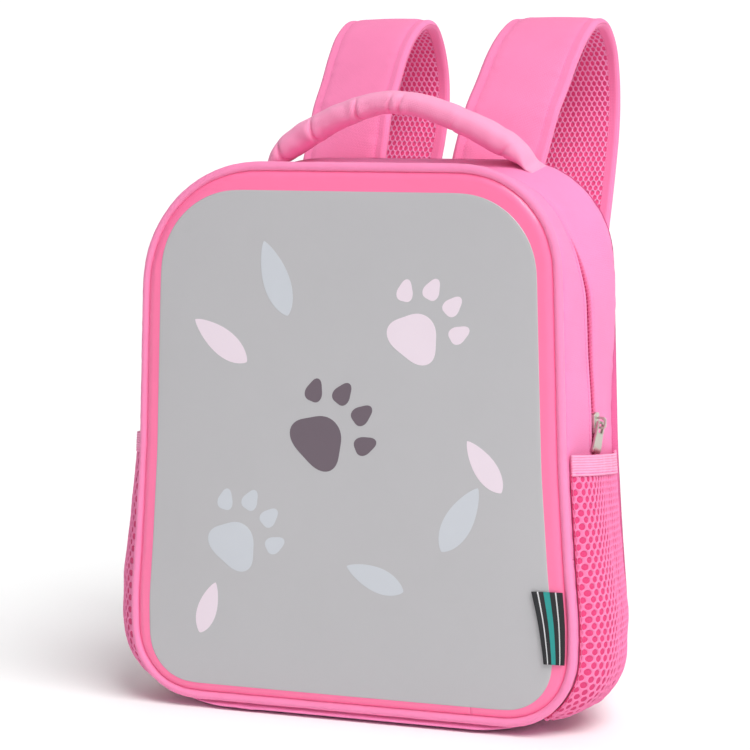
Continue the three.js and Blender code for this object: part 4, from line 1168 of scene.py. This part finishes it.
# %% Strap path
STRAP_WIDTH = 56
STRAP_CROWN = 4
STRAP_EDGE = 2.7
HEM_ROW = 6.4
STRAP_GAP = 48.5
STRAP_SPLAY = 20
STRAP_TWIST = 11
STRAP_ROOT = (PAD_FACE + CLEARANCE + STRAP_CROWN, 267)
STRAP_REACH = (134, 128.5)
STRAP_PATH = {
    "back": (0, 0, 0.012, 0.055, 0.12, 0.195, 0.31, 0.43, 0.56, 0.7, 0.83, 0.935, 0.99, 1, 0.97, 0.92,
             0.847, 0.746, 0.615, 0.484, 0.41, 0.37),
    "up": (0, 0.1, 0.21, 0.345, 0.46, 0.586, 0.71, 0.84, 0.94, 0.995, 0.985, 0.89, 0.75, 0.61, 0.47,
           0.34, 0.19, 0.02, -0.21, -0.43, -0.55, -0.615),
    "out": (0, 0, 0, 0.02, 0.06, 0.12, 0.18, 0.24, 0.3, 0.33, 0.36, 0.39, 0.4, 0.41, 0.44, 0.47, 0.52,
            0.6, 0.7, 0.82, 0.9, 0.95),
    "twist": (0, 0, 0.2, 0.6, 0.9, 1, 1, 0.9, 0.6, 0.4, 0.3, 0.2, 0, 0, 0, 0, 0, 0, 0, 0, 0, 0),
    "wide": (0.94, 1, 1, 1, 1, 1, 1, 1, 1, 1, 1, 1, 1, 1, 1, 1, 1, 1, 1, 0.98, 0.8, 0.52),
}
STRAP_STEPS = 260
STRAPS = (("right", 1, 41), ("left", -1, 47))


def strap_line(side):
    """The strap's middle line from its root to its end, with its width and its three directions."""
    table = {key: np.array(values) for key, values in STRAP_PATH.items()}
    x = side * (STRAP_GAP + table["out"] * STRAP_SPLAY)
    y = STRAP_ROOT[0] + table["back"] * STRAP_REACH[0]
    z = STRAP_ROOT[1] + table["up"] * STRAP_REACH[1]
    rows = spline(np.column_stack([x, y, z, table["wide"], table["twist"]]), STRAP_STEPS)
    ahead = unit(np.gradient(rows[:, :3], axis=0))
    twist = np.radians(rows[:, 4] * STRAP_TWIST)
    across = np.column_stack([np.cos(twist), side * np.sin(twist), np.zeros(len(rows))])
    across = unit(across - ahead * (across * ahead).sum(axis=1, keepdims=True))
    return rows[:, :3], rows[:, 3], ahead, across, np.cross(ahead, across)


strap_lines = {side_name: strap_line(side) for side_name, side, _ in STRAPS}


def strap_height(across, half, run, face, seed):
    """Height of a strap's face over its middle plane, across it: a rolled edge, a hem pressed flat
    by its stitches, the padding, and small puckers that the stitches draw into it."""
    inset = half - np.abs(across)
    roll = np.sqrt(np.clip(1 - (1 - np.clip(inset / STRAP_EDGE, 0, 1)) ** 2, 0, 1))
    bead = 0.2 * np.exp(-((inset - 2.4) / 1.2) ** 2)
    padding = (STRAP_CROWN * 0.88 - STRAP_EDGE) * smoothstep(inset, 4.0, 12)
    crown = STRAP_CROWN * 0.12 * smoothstep(inset, 8, 26)
    seam = 0.4 * np.exp(-((inset - HEM_ROW) / 0.7) ** 2)
    puckers = 0.28 * waves(run, (8.5, 12.0, 19.0), seed) * np.exp(-((inset - 8.5) / 4) ** 2)
    slow = 0.4 * waves(run + 0.5 * across, (70.0, 41.0, 97.0), seed + 1) * smoothstep(inset, 4, 14)
    cloth_face = STRAP_EDGE * roll + bead * roll + padding + crown - seam + puckers + slow
    lining_face = STRAP_EDGE * roll + bead * roll + (padding + crown) * 0.6 - 0.5 * seam
    return np.where(face < 0, cloth_face, lining_face)


def strap_point(line, place, share, face, lift, seed):
    """A point of a strap: place is its step along, share runs across from -1 to 1."""
    middle, wide, ahead, across, through = line
    steps = np.arange(len(middle))
    run = lengths_along(middle)
    at = [np.interp(place, steps, column) for column in middle.T]
    a = [np.interp(place, steps, column) for column in across.T]
    t = [np.interp(place, steps, column) for column in through.T]
    half = np.interp(place, steps, wide) * STRAP_WIDTH / 2
    length = np.interp(place, steps, run)
    end = np.minimum(length, run[-1] - length)
    closing = np.sqrt(np.clip(1 - (1 - np.clip(end / 2.0, 0, 1)) ** 2, 0, 1))
    height = (strap_height(share * half, half, length, face, seed) + lift) * closing * face
    return np.stack([m + share * half * u + height * n for m, u, n in zip(at, a, t)], axis=-1)


# %% Padded straps
share_steps = np.sin(np.linspace(-np.pi / 2, np.pi / 2, 61))[None, :]
strap_places = np.concatenate([[0, 0.15, 0.5], np.linspace(1, STRAP_STEPS - 2, STRAP_STEPS),
                               [STRAP_STEPS - 1.5, STRAP_STEPS - 1.15, STRAP_STEPS - 1]])[:, None]
LINING_CELL = (3.4, 3.4)
LINING_HEM = 6.2
LINING_SHORT = 12
LINING_START = 5
for side_name, side, seed in STRAPS:
    line = strap_lines[side_name]
    strap_length = lengths_along(line[0])[-1]
    place, share = np.broadcast_arrays(strap_places, share_steps)
    cover = strap_point(line, place, share, -1.0, 0, seed)
    lining = strap_point(line, place, share, 1.0, 0, seed)
    pattern = np.stack([share * STRAP_WIDTH / 2, place / (STRAP_STEPS - 1) * strap_length], axis=2)
    squares = (cover.shape[0] - 1) * (cover.shape[1] - 1)
    middle_share = np.abs((share_steps[0, 1:] + share_steps[0, :-1]) / 2)
    lined = np.tile((middle_share < 1 - 2 * LINING_HEM / STRAP_WIDTH), cover.shape[0] - 1)
    slots = np.concatenate([np.zeros(squares, int), lined.astype(int)])
    strap = grid_piece(f"shoulder_strap_{side_name}", [cover, lining], [outer_cloth, lining_knit_painted_light_and_shade],
                       uv=[pattern, pattern], slots=slots)
    settle(strap, "bag", "cloth", f"strap_{side_name}")

# %% [markdown]
# The pockets and the straps' linings are the same spacer net: a knitted face with hexagonal holes
# over a darker backing, whose deeper pink is partly its own colour and partly painted shade for the
# holes. On the straps the yarn and the backing are lighter copies, painted light against the shade on
# the linings. Each cell is a ring of four loops of points, from the rounded top of its strands down to
# the rim of its hole. Neighbours share their strands, so the net is one piece.

# %% Net
NET_UPRIGHT = 0.24
NET_RINGS = {
    "scale": (1.0, 0.9, 0.76, 0.72),
    "height": (0.42, 0.38, 0.1, -0.35),
}


def net_cells(width, length, cell_width, row_pitch):
    """Middles of the cells of a honeycomb that covers width by length."""
    rows = np.arange(0, length / row_pitch + 1)
    cols = np.arange(-1, width / cell_width + 1)
    u = (cols[None, :] + 0.5 * (rows[:, None] % 2)) * cell_width
    v = np.broadcast_to(rows[:, None] * row_pitch, u.shape)
    inside = (u > -0.2 * cell_width) & (u < width + 0.2 * cell_width) & (v < length + 0.2 * row_pitch)
    return u[inside], v[inside]


def net_pattern(width, length, cell_width, row_pitch):
    """Points of the net in the flat, their heights, and its faces. A cell's border is a hexagon with
    short upright sides, of six corners and six points between them. Its hole is rounder."""
    u, v = net_cells(width, length, cell_width, row_pitch)
    tall = row_pitch * (1 - NET_UPRIGHT)
    upright = row_pitch * NET_UPRIGHT
    half = cell_width / 2
    corners = np.array([(half, upright), (0, tall), (-half, upright),
                        (-half, -upright), (0, -tall), (half, -upright)])
    border = np.stack([corners, (corners + np.roll(corners, -1, axis=0)) / 2], axis=1).reshape(12, 2)
    oval_turn = np.radians(np.arange(12) * 30 + 30)
    oval = np.stack([np.cos(oval_turn) * half, np.sin(oval_turn) * tall * 0.92], axis=1)
    rings = [border * scale if scale > 0.9 else border * scale * 0.3 + oval * scale * 0.7
             for scale in NET_RINGS["scale"]]
    cell = np.concatenate(rings)
    heights = np.repeat(NET_RINGS["height"], 12)
    points = np.stack([u, v], axis=1)[:, None] + cell[None]
    flat_u = np.clip(points[..., 0], 0, width)
    flat_v = np.clip(points[..., 1], 0, length)
    around = np.arange(12)
    ring = [np.stack([k * 12 + around, k * 12 + (around + 1) % 12,
                      (k + 1) * 12 + (around + 1) % 12, (k + 1) * 12 + around], axis=1) for k in range(3)]
    faces = (np.concatenate(ring)[None] + (np.arange(len(u)) * 48)[:, None, None]).reshape(-1, 4)
    return flat_u.ravel(), flat_v.ravel(), np.tile(heights, len(u)), faces


for side_name, side, seed in STRAPS:
    line = strap_lines[side_name]
    strap_length = lengths_along(line[0])[-1]
    lining_width = STRAP_WIDTH - 2 * LINING_HEM
    u, v, height, faces = net_pattern(lining_width, strap_length - LINING_SHORT, *LINING_CELL)
    share = (u / lining_width * 2 - 1) * lining_width / STRAP_WIDTH
    place = (v + LINING_START) / strap_length * (STRAP_STEPS - 1)
    points = strap_point(line, place, share, 1.0, 0.45 + height * 0.8, seed)
    flat = np.stack([u, v], axis=1)
    net = finish_mesh(f"strap_net_{side_name}", points, faces, flat, [lining_yarn_painted_light], closed=False)
    settle(net, "bag", "net")

# %% [markdown]
# A side pocket is a pouch of the same net, gathered into the base seam and held by a ribbed elastic
# at its mouth. The tables give how far it stands off the gusset, across it and up it.

# %% Pocket form
POCKET_SEAT = 0.7
POCKET_BULGE = 14
POCKET_FRONT = GUSSET_FRONT + 1.6
POCKET_BACK = GUSSET_BACK - 1.6
BASE_ARC = math.pi / 2 * BASE_RADIUS
ARC_START = SIDE_ROWS["half_width"][1] - BASE_RADIUS - SIDE_ROWS["half_width"][0]
POCKET_ACROSS = {
    "depth": (0, 0.05, 0.13, 0.24, 0.38, 0.5, 0.62, 0.74, 0.87, 1),
    "pouch": (0, 0.42, 0.84, 1, 0.92, 0.82, 0.6, 0.35, 0.14, 0),
    "mouth": (0, 0.3, 0.56, 0.66, 0.66, 0.64, 0.56, 0.36, 0.16, 0),
    "tilt": (1, 0.9, 0.74, 0.52, 0.24, 0, -0.2, -0.4, -0.6, -0.75),
}
MOUTH_TILT = 4.5
POCKET_UP = {
    "run": (*(ARC_START + BASE_ARC * k / 6 for k in (2, 3, 4, 5, 6)),
            run_at(65, 1), run_at(100, 1), run_at(141, 1), run_at(153, 1)),
    "full": (0.05, 0.48, 0.82, 1, 1.04, 1.04, 1, 1, 0.97),
    "mouth": (0, 0, 0, 0, 0, 0, 0.3, 1, 1),
}
PLEATS = {
    "depth": (0.63, 0.3, 0.84),
    "deep": (2.8, 0.9, 0.8),
    "width": (0.042, 0.05, 0.035),
}


def pocket_point(share, run, lift, side):
    """A point of the right pocket's outer face, or of the left one, which is its mirror image."""
    share, run, lift = np.broadcast_arrays(share, run, lift)
    full = soft_table(run, POCKET_UP["run"], POCKET_UP["full"], 5)
    mouth = soft_table(run, POCKET_UP["run"], POCKET_UP["mouth"], 4)
    pouch_form = soft_table(share, POCKET_ACROSS["depth"], POCKET_ACROSS["pouch"], 0.03)
    mouth_form = soft_table(share, POCKET_ACROSS["depth"], POCKET_ACROSS["mouth"], 0.03)
    edge = np.clip(np.minimum(share, 1 - share) / 0.04, 0, 1)
    off = POCKET_SEAT + (pouch_form + (mouth_form - pouch_form) * mouth) * full * POCKET_BULGE * edge
    low = 1 - smoothstep(run, POCKET_UP["run"][0], POCKET_UP["run"][0] + 45)
    for depth, deep, width in zip(*PLEATS.values()):
        lean = 0.0006 * (run - 110)
        off = off - deep * np.exp(-((share - depth - lean) / width) ** 2) * (0.35 + 0.65 * (1 - mouth))
    off = off + 0.9 * waves(share * 88 + 0.1 * run, (7.5, 11.0), 61) * low * edge
    off = off + 0.45 * waves(run + 30 * share, (33.0, 49.0, 21.0), 62) * edge * (1 - mouth)
    y = POCKET_FRONT + share * (POCKET_BACK - POCKET_FRONT)
    tilt = MOUTH_TILT * soft_table(share, POCKET_ACROSS["depth"], POCKET_ACROSS["tilt"], 0.03) * mouth
    placed = on_gusset(run + tilt, y, np.maximum(off, POCKET_SEAT) + lift, plain=True)
    return placed * np.array([side, 1, 1])


# %% Net pockets and elastic bands
POCKET_CELL = (3.7, 3.5)
POCKET_CUT = 104
BAND_SIZE = (96, 12)
BAND_RIBS = 8
SIDES = (("right", 1), ("left", -1))
pocket_rows = np.linspace(POCKET_UP["run"][0], POCKET_UP["run"][7] + 1.5, 80)[:, None]
pocket_columns = np.linspace(0, 1, 70)[None, :]
pocket_length = float(np.ptp(pocket_rows))
band_rows = np.linspace(POCKET_UP["run"][7] + 0.3, POCKET_UP["run"][8], 81)[:, None]
band_columns = np.linspace(0, 1, 120)[None, :]
for side_name, side in SIDES:
    # The backing sheet sits just behind the net; its deeper pink is partly painted shade for the holes.
    backing = pocket_point(pocket_columns, pocket_rows, 0.55, side)
    pouch = thicken(grid_piece(f"pocket_backing_{side_name}", backing, backing_knit_painted_shade, closed=False), 0.5)
    settle(pouch, "bag", "net", f"pocket_{side_name}")
    u, v, height, faces = net_pattern(POCKET_CUT, pocket_length, *POCKET_CELL)
    points = pocket_point(u / POCKET_CUT, v + pocket_rows[0, 0], 1.05 + height, side)
    flat = np.stack([u, v], axis=1)
    net = finish_mesh(f"pocket_net_{side_name}", points, faces, flat, [net_yarn], closed=False)
    settle(net, "bag", "net")
    size = (POCKET_CUT * MM, pocket_length * MM)
    place = (band_rows - band_rows[0]) / (band_rows[-1] - band_rows[0])
    ribs = 0.22 * np.abs(np.sin(np.pi * BAND_RIBS * place))
    hem = 0.25 * np.exp(-((place - 0.5) / 0.6) ** 2)
    gathers = 0.28 * waves(band_columns * BAND_SIZE[0], (6.5, 10.0, 15.0), 71)
    gathers = gathers * smoothstep(1 - band_columns, 0.1, 0.5)
    band_grid = pocket_point(band_columns, band_rows, 1.5 + ribs + hem + gathers, side)
    elastic = thicken(grid_piece(f"elastic_{side_name}", band_grid, elastic_cloth, closed=False), 1.5)
    settle(elastic, "bag", "elastic", f"pocket_band_{side_name}")

# %% [markdown]
# Webbing leaves each padded strap's end, passes through a moulded adjuster and is sewn to the foot
# of the back panel. The hardware keeps the construction's own shapes, with their edges softened.

# %% Webbing
WEBBING_WIDTH = 25
WEBBING_WALL = 1.5
WEBBING_FOOT = 24
WEBBING_OUT = 96
WEBBING_PATH = {
    "back": (1, 0.72, 0.42, 0.17, 0.05, 0, 0),
    "up": (1, 0.82, 0.57, 0.31, 0.16, 0.08, 0),
    "out": (0, 0.16, 0.4, 0.68, 0.86, 0.95, 1),
}
webbing_depth = PAD_FACE + CLEARANCE + WEBBING_WALL / 2
for side_name, side in SIDES:
    line = strap_lines[side_name]
    top = line[0][-1] + line[2][-1]
    rows = np.column_stack([
        top[0] + np.array(WEBBING_PATH["out"]) * (side * WEBBING_OUT - top[0]),
        webbing_depth + np.array(WEBBING_PATH["back"]) * (top[1] - webbing_depth),
        WEBBING_FOOT + np.array(WEBBING_PATH["up"]) * (top[2] - WEBBING_FOOT),
    ])
    middle = spline(rows, 90)
    ahead = unit(np.gradient(middle, axis=0))
    across = unit(np.array([[1.0, 0, 0]]) - ahead * ahead[:, :1])
    through = np.cross(ahead, across)
    share = np.linspace(-1, 1, 15)[None, :, None]
    ridge = -0.12 * np.abs(np.sin(share * 2.5 * np.pi))
    strip_grid = middle[:, None] + across[:, None] * share * WEBBING_WIDTH / 2 + through[:, None] * ridge
    strip_piece = thicken(grid_piece(f"strap_webbing_{side_name}", strip_grid, webbing_cloth, closed=False),
                          WEBBING_WALL - 0.1, offset=0)
    settle(strip_piece, "bag", "webbing", f"webbing_{side_name}")


# %% Hardware
def finished_copy(node, name, material, body, slot_name, bevel):
    """The construction's own shape, merged, with flat faces joined and its edges rounded."""
    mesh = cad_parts[node].data.copy()
    merged = bmesh.new()
    merged.from_mesh(mesh)
    bmesh.ops.remove_doubles(merged, verts=merged.verts, dist=WELD)
    bmesh.ops.dissolve_limit(merged, angle_limit=math.radians(1), verts=merged.verts, edges=merged.edges)
    merged.to_mesh(mesh)
    merged.free()
    mesh.materials.clear()
    mesh.materials.append(material)
    mesh.polygons.foreach_set("use_smooth", np.ones(len(mesh.polygons), bool))
    piece = bpy.data.objects.new(name, mesh)
    scene.collection.objects.link(piece)
    soft = piece.modifiers.new("soft_edges", "BEVEL")
    soft.width = bevel * MM
    soft.segments = 3
    soft.limit_method = "ANGLE"
    soft.angle_limit = math.radians(28)
    soft.harden_normals = True
    return settle(piece, body, slot_name, node)


finished_copy("zip_slider", "slider_body", satin_metal, "bag", "metal", 0.22)
finished_copy("zip_puller", "slider_puller", satin_metal, "puller", "metal", 0.3)
for side_name, _ in SIDES:
    finished_copy(f"strap_adjuster_{side_name}", f"adjuster_{side_name}", adjuster_plastic, "bag",
                  "adjuster", 0.6)

# %% [markdown]
# A folded woven tape is caught in the piping's seam low on the right. It is dark, with plain stripes
# woven along it, and its free edge lifts a little off the print.

# %% Side label
LABEL_WIDTH = 17
LABEL_HEIGHT = 40
LABEL_FOOT = 43
LABEL_LEAN = 5.5
LABEL_INSET = 5.5
LABEL_STRIPES = {
    "at": (0.22, 0.52, 0.8),
    "wide": (0.022, 0.1, 0.022),
    "colour": ((214, 214, 216), (34, 150, 146), (214, 214, 216)),
}


def label_material():
    """Dark woven tape, darker in the dips between its threads as painted shade. Each stripe is where the
    pattern's first coordinate is near its place.
    """
    material, shader = start_material("label_tape")
    tree = material.node_tree
    across = add_node(tree, "ShaderNodeSeparateXYZ", inputs={0: place_of(tree, "pattern")}).outputs[0]
    weave = weave_height(tree, 0.45, "pattern")
    # Painted shade: the tape and its stripes darken where the weave dips between threads.
    colour = tone(tree, (27, 26, 31), weave, 0.25)
    for at, wide, stripe in zip(*LABEL_STRIPES.values()):
        distance = maths(tree, "ABSOLUTE", maths(tree, "SUBTRACT", across, at * LABEL_WIDTH * MM))
        inside = maths(tree, "LESS_THAN", distance, wide * LABEL_WIDTH * MM)
        woven = tone(tree, stripe, weave, 0.18)
        striped = add_node(tree, "ShaderNodeMix", data_type="RGBA", inputs={0: inside, 6: colour, 7: woven})
        colour = striped.outputs[2]
    tree.links.new(colour, shader.inputs["Base Color"])
    tree.links.new(bump(tree, weave, 0.08), shader.inputs["Normal"])
    shader.inputs["Roughness"].default_value = 0.6
    return material


up_steps = np.linspace(0, 1, 48)[:, None]
out_steps = np.linspace(0, 1, 24)[None, :]
label_z = LABEL_FOOT + up_steps * LABEL_HEIGHT + 0 * out_steps
label_edge = width_at(label_z, 1) - LABEL_INSET
label_x = label_edge - out_steps * (LABEL_WIDTH - LABEL_LEAN * (1 - up_steps))
curl = 0.9 * out_steps ** 3 * (0.3 + up_steps ** 2) + 0.25 * np.sin(3.2 * up_steps + 1) * out_steps
label_y = FRONT_SEAM - dome(label_x, label_z) - PRINT_LIFT - CLEARANCE - 0.9 - curl
label_grid = np.stack([label_x, label_y, label_z], axis=2)
label_uv = np.stack(np.broadcast_arrays(out_steps * LABEL_WIDTH, up_steps * LABEL_HEIGHT), axis=2)
tag = thicken(grid_piece("woven_label", label_grid, label_material(), uv=label_uv, closed=False), 0.8)
settle(tag, "bag", "label", "side_label")

# %% [markdown]
# Stitches hold the hems: two rows along the zip, two along each strap and one along each elastic.
# They are short bars of thread that lie in the groove that they pull.

# %% Stitches
STITCH = pill(2.0, 0.5, 0.4)
STITCH_PITCH = 2.7
hem_run = np.linspace(OVER_TOP[0] + 1, OVER_TOP[1] - 1, 900)
rows_of_places = []
for side in (-1, 1):
    hem_y = zip_middle(hem_run) + (lip_place(hem_run) + ZIP_ROW) * side
    hem_line = on_gusset(hem_run, hem_y, 0.05)
    rows_of_places.append(stitch_row(hem_line, gusset_normal(hem_run, hem_y), STITCH_PITCH))
for side_name, side, seed in STRAPS:
    line = strap_lines[side_name]
    place = np.linspace(3, STRAP_STEPS - 10, 700)
    for edge in (-1, 1):
        half = np.interp(place, np.arange(STRAP_STEPS), line[1]) * STRAP_WIDTH / 2
        share = edge * (1 - HEM_ROW / half)
        hem_line = strap_point(line, place, share, -1.0, 0.1, seed)
        outs = -np.stack([np.interp(place, np.arange(STRAP_STEPS), column) for column in line[4].T], axis=1)
        rows_of_places.append(stitch_row(hem_line, outs, STITCH_PITCH))
    share = np.linspace(0.02, 0.98, 300)
    run = np.full_like(share, POCKET_UP["run"][7] + 2.0)
    hem_line = pocket_point(share, run, 1.75, side)
    outs = pocket_point(share, run, 3.0, side) - hem_line
    rows_of_places.append(stitch_row(hem_line, outs, STITCH_PITCH))
stitch_places, stitch_along, stitch_tops = (np.concatenate(group) for group in zip(*rows_of_places))
stitches = scatter("hem_stitches", STITCH, stitch_places, stitch_along, stitch_tops, thread)
settle(stitches, "bag", "cloth")

# %% [markdown]
# A white studio. The sky is brightest behind the bag, where the camera looks, and to its right, and
# dimmer on the left, so that the left side falls into a soft shade. A wide sun from the upper right
# gives the form its shape, and one square lamp leaves a soft gloss on the coated cloth. The floor is
# a plain pale sheet. Colours are shown as they are, without a film curve.

# %% Studio
SKY = {"behind": 1.08, "left": 0.26, "right": 0.66}
BEHIND_FROM = (0.55, 0.8)
SUN_FROM = (0.55, -0.4, 1.0)
SUN_STRENGTH = 2.35
SUN_WIDTH = math.radians(36)
LAMP = {"at": (900, -1500, 1500), "size": 500, "power": 3.0}
FLOOR_SIDE = 9000
FLOOR_COLOUR = (0.97, 0.985, 0.98, 1)

scene.view_settings.view_transform = "Standard"
scene.view_settings.look = "None"
world = bpy.data.worlds.new("studio")
world.use_nodes = True
sky = world.node_tree
sky_split = add_node(sky, "ShaderNodeSeparateXYZ", inputs={
    0: add_node(sky, "ShaderNodeTexCoord").outputs["Generated"]})
to_right = add_node(sky, "ShaderNodeMapRange", inputs={
    "Value": sky_split.outputs[0], "From Min": -0.8, "From Max": 0.9,
    "To Min": SKY["left"], "To Max": SKY["right"]}).outputs[0]
to_back = add_node(sky, "ShaderNodeMapRange", inputs={
    "Value": sky_split.outputs[1], "From Min": BEHIND_FROM[0], "From Max": BEHIND_FROM[1],
    "To Min": 0.0, "To Max": SKY["behind"]}).outputs[0]
sky.links.new(maths(sky, "MAXIMUM", to_right, to_back), sky.nodes["Background"].inputs["Strength"])
sky.nodes["Background"].inputs["Color"].default_value = (1, 1, 1, 1)
scene.world = world


def aim_lamp(data, place):
    """A lamp at a place in millimetres that looks at the middle of the bag."""
    lamp = bpy.data.objects.new(data.name, data)
    scene.collection.objects.link(lamp)
    lamp.location = np.array(place) * MM
    aim = BAG_MIDDLE - np.array(place) * MM
    turn = math.atan2(aim[1], aim[0]) - math.pi / 2
    tilt = math.acos(-aim[2] / np.linalg.norm(aim))
    lamp.rotation_euler = (tilt, 0, turn)


sun = bpy.data.lights.new("sun", "SUN")
sun.energy = SUN_STRENGTH
sun.angle = SUN_WIDTH
aim_lamp(sun, np.array(SUN_FROM) * 2000)
gloss_lamp = bpy.data.lights.new("gloss_lamp", "AREA")
gloss_lamp.size = LAMP["size"] * MM
gloss_lamp.energy = LAMP["power"]
aim_lamp(gloss_lamp, LAMP["at"])

# %% Floor
floor_mesh = bpy.data.meshes.new("floor")
half_floor = FLOOR_SIDE / 2 * MM
floor_mesh.from_pydata([(-half_floor, -half_floor, 0), (half_floor, -half_floor, 0),
                        (half_floor, half_floor, 0), (-half_floor, half_floor, 0)], [], [(0, 1, 2, 3)])
floor = bpy.data.objects.new("floor", floor_mesh)
scene.collection.objects.link(floor)
floor_paint, floor_shader = start_material("floor_paint")
floor_shader.inputs["Base Color"].default_value = FLOOR_COLOUR
floor_shader.inputs["Roughness"].default_value = 0.6
floor_mesh.materials.append(floor_paint)
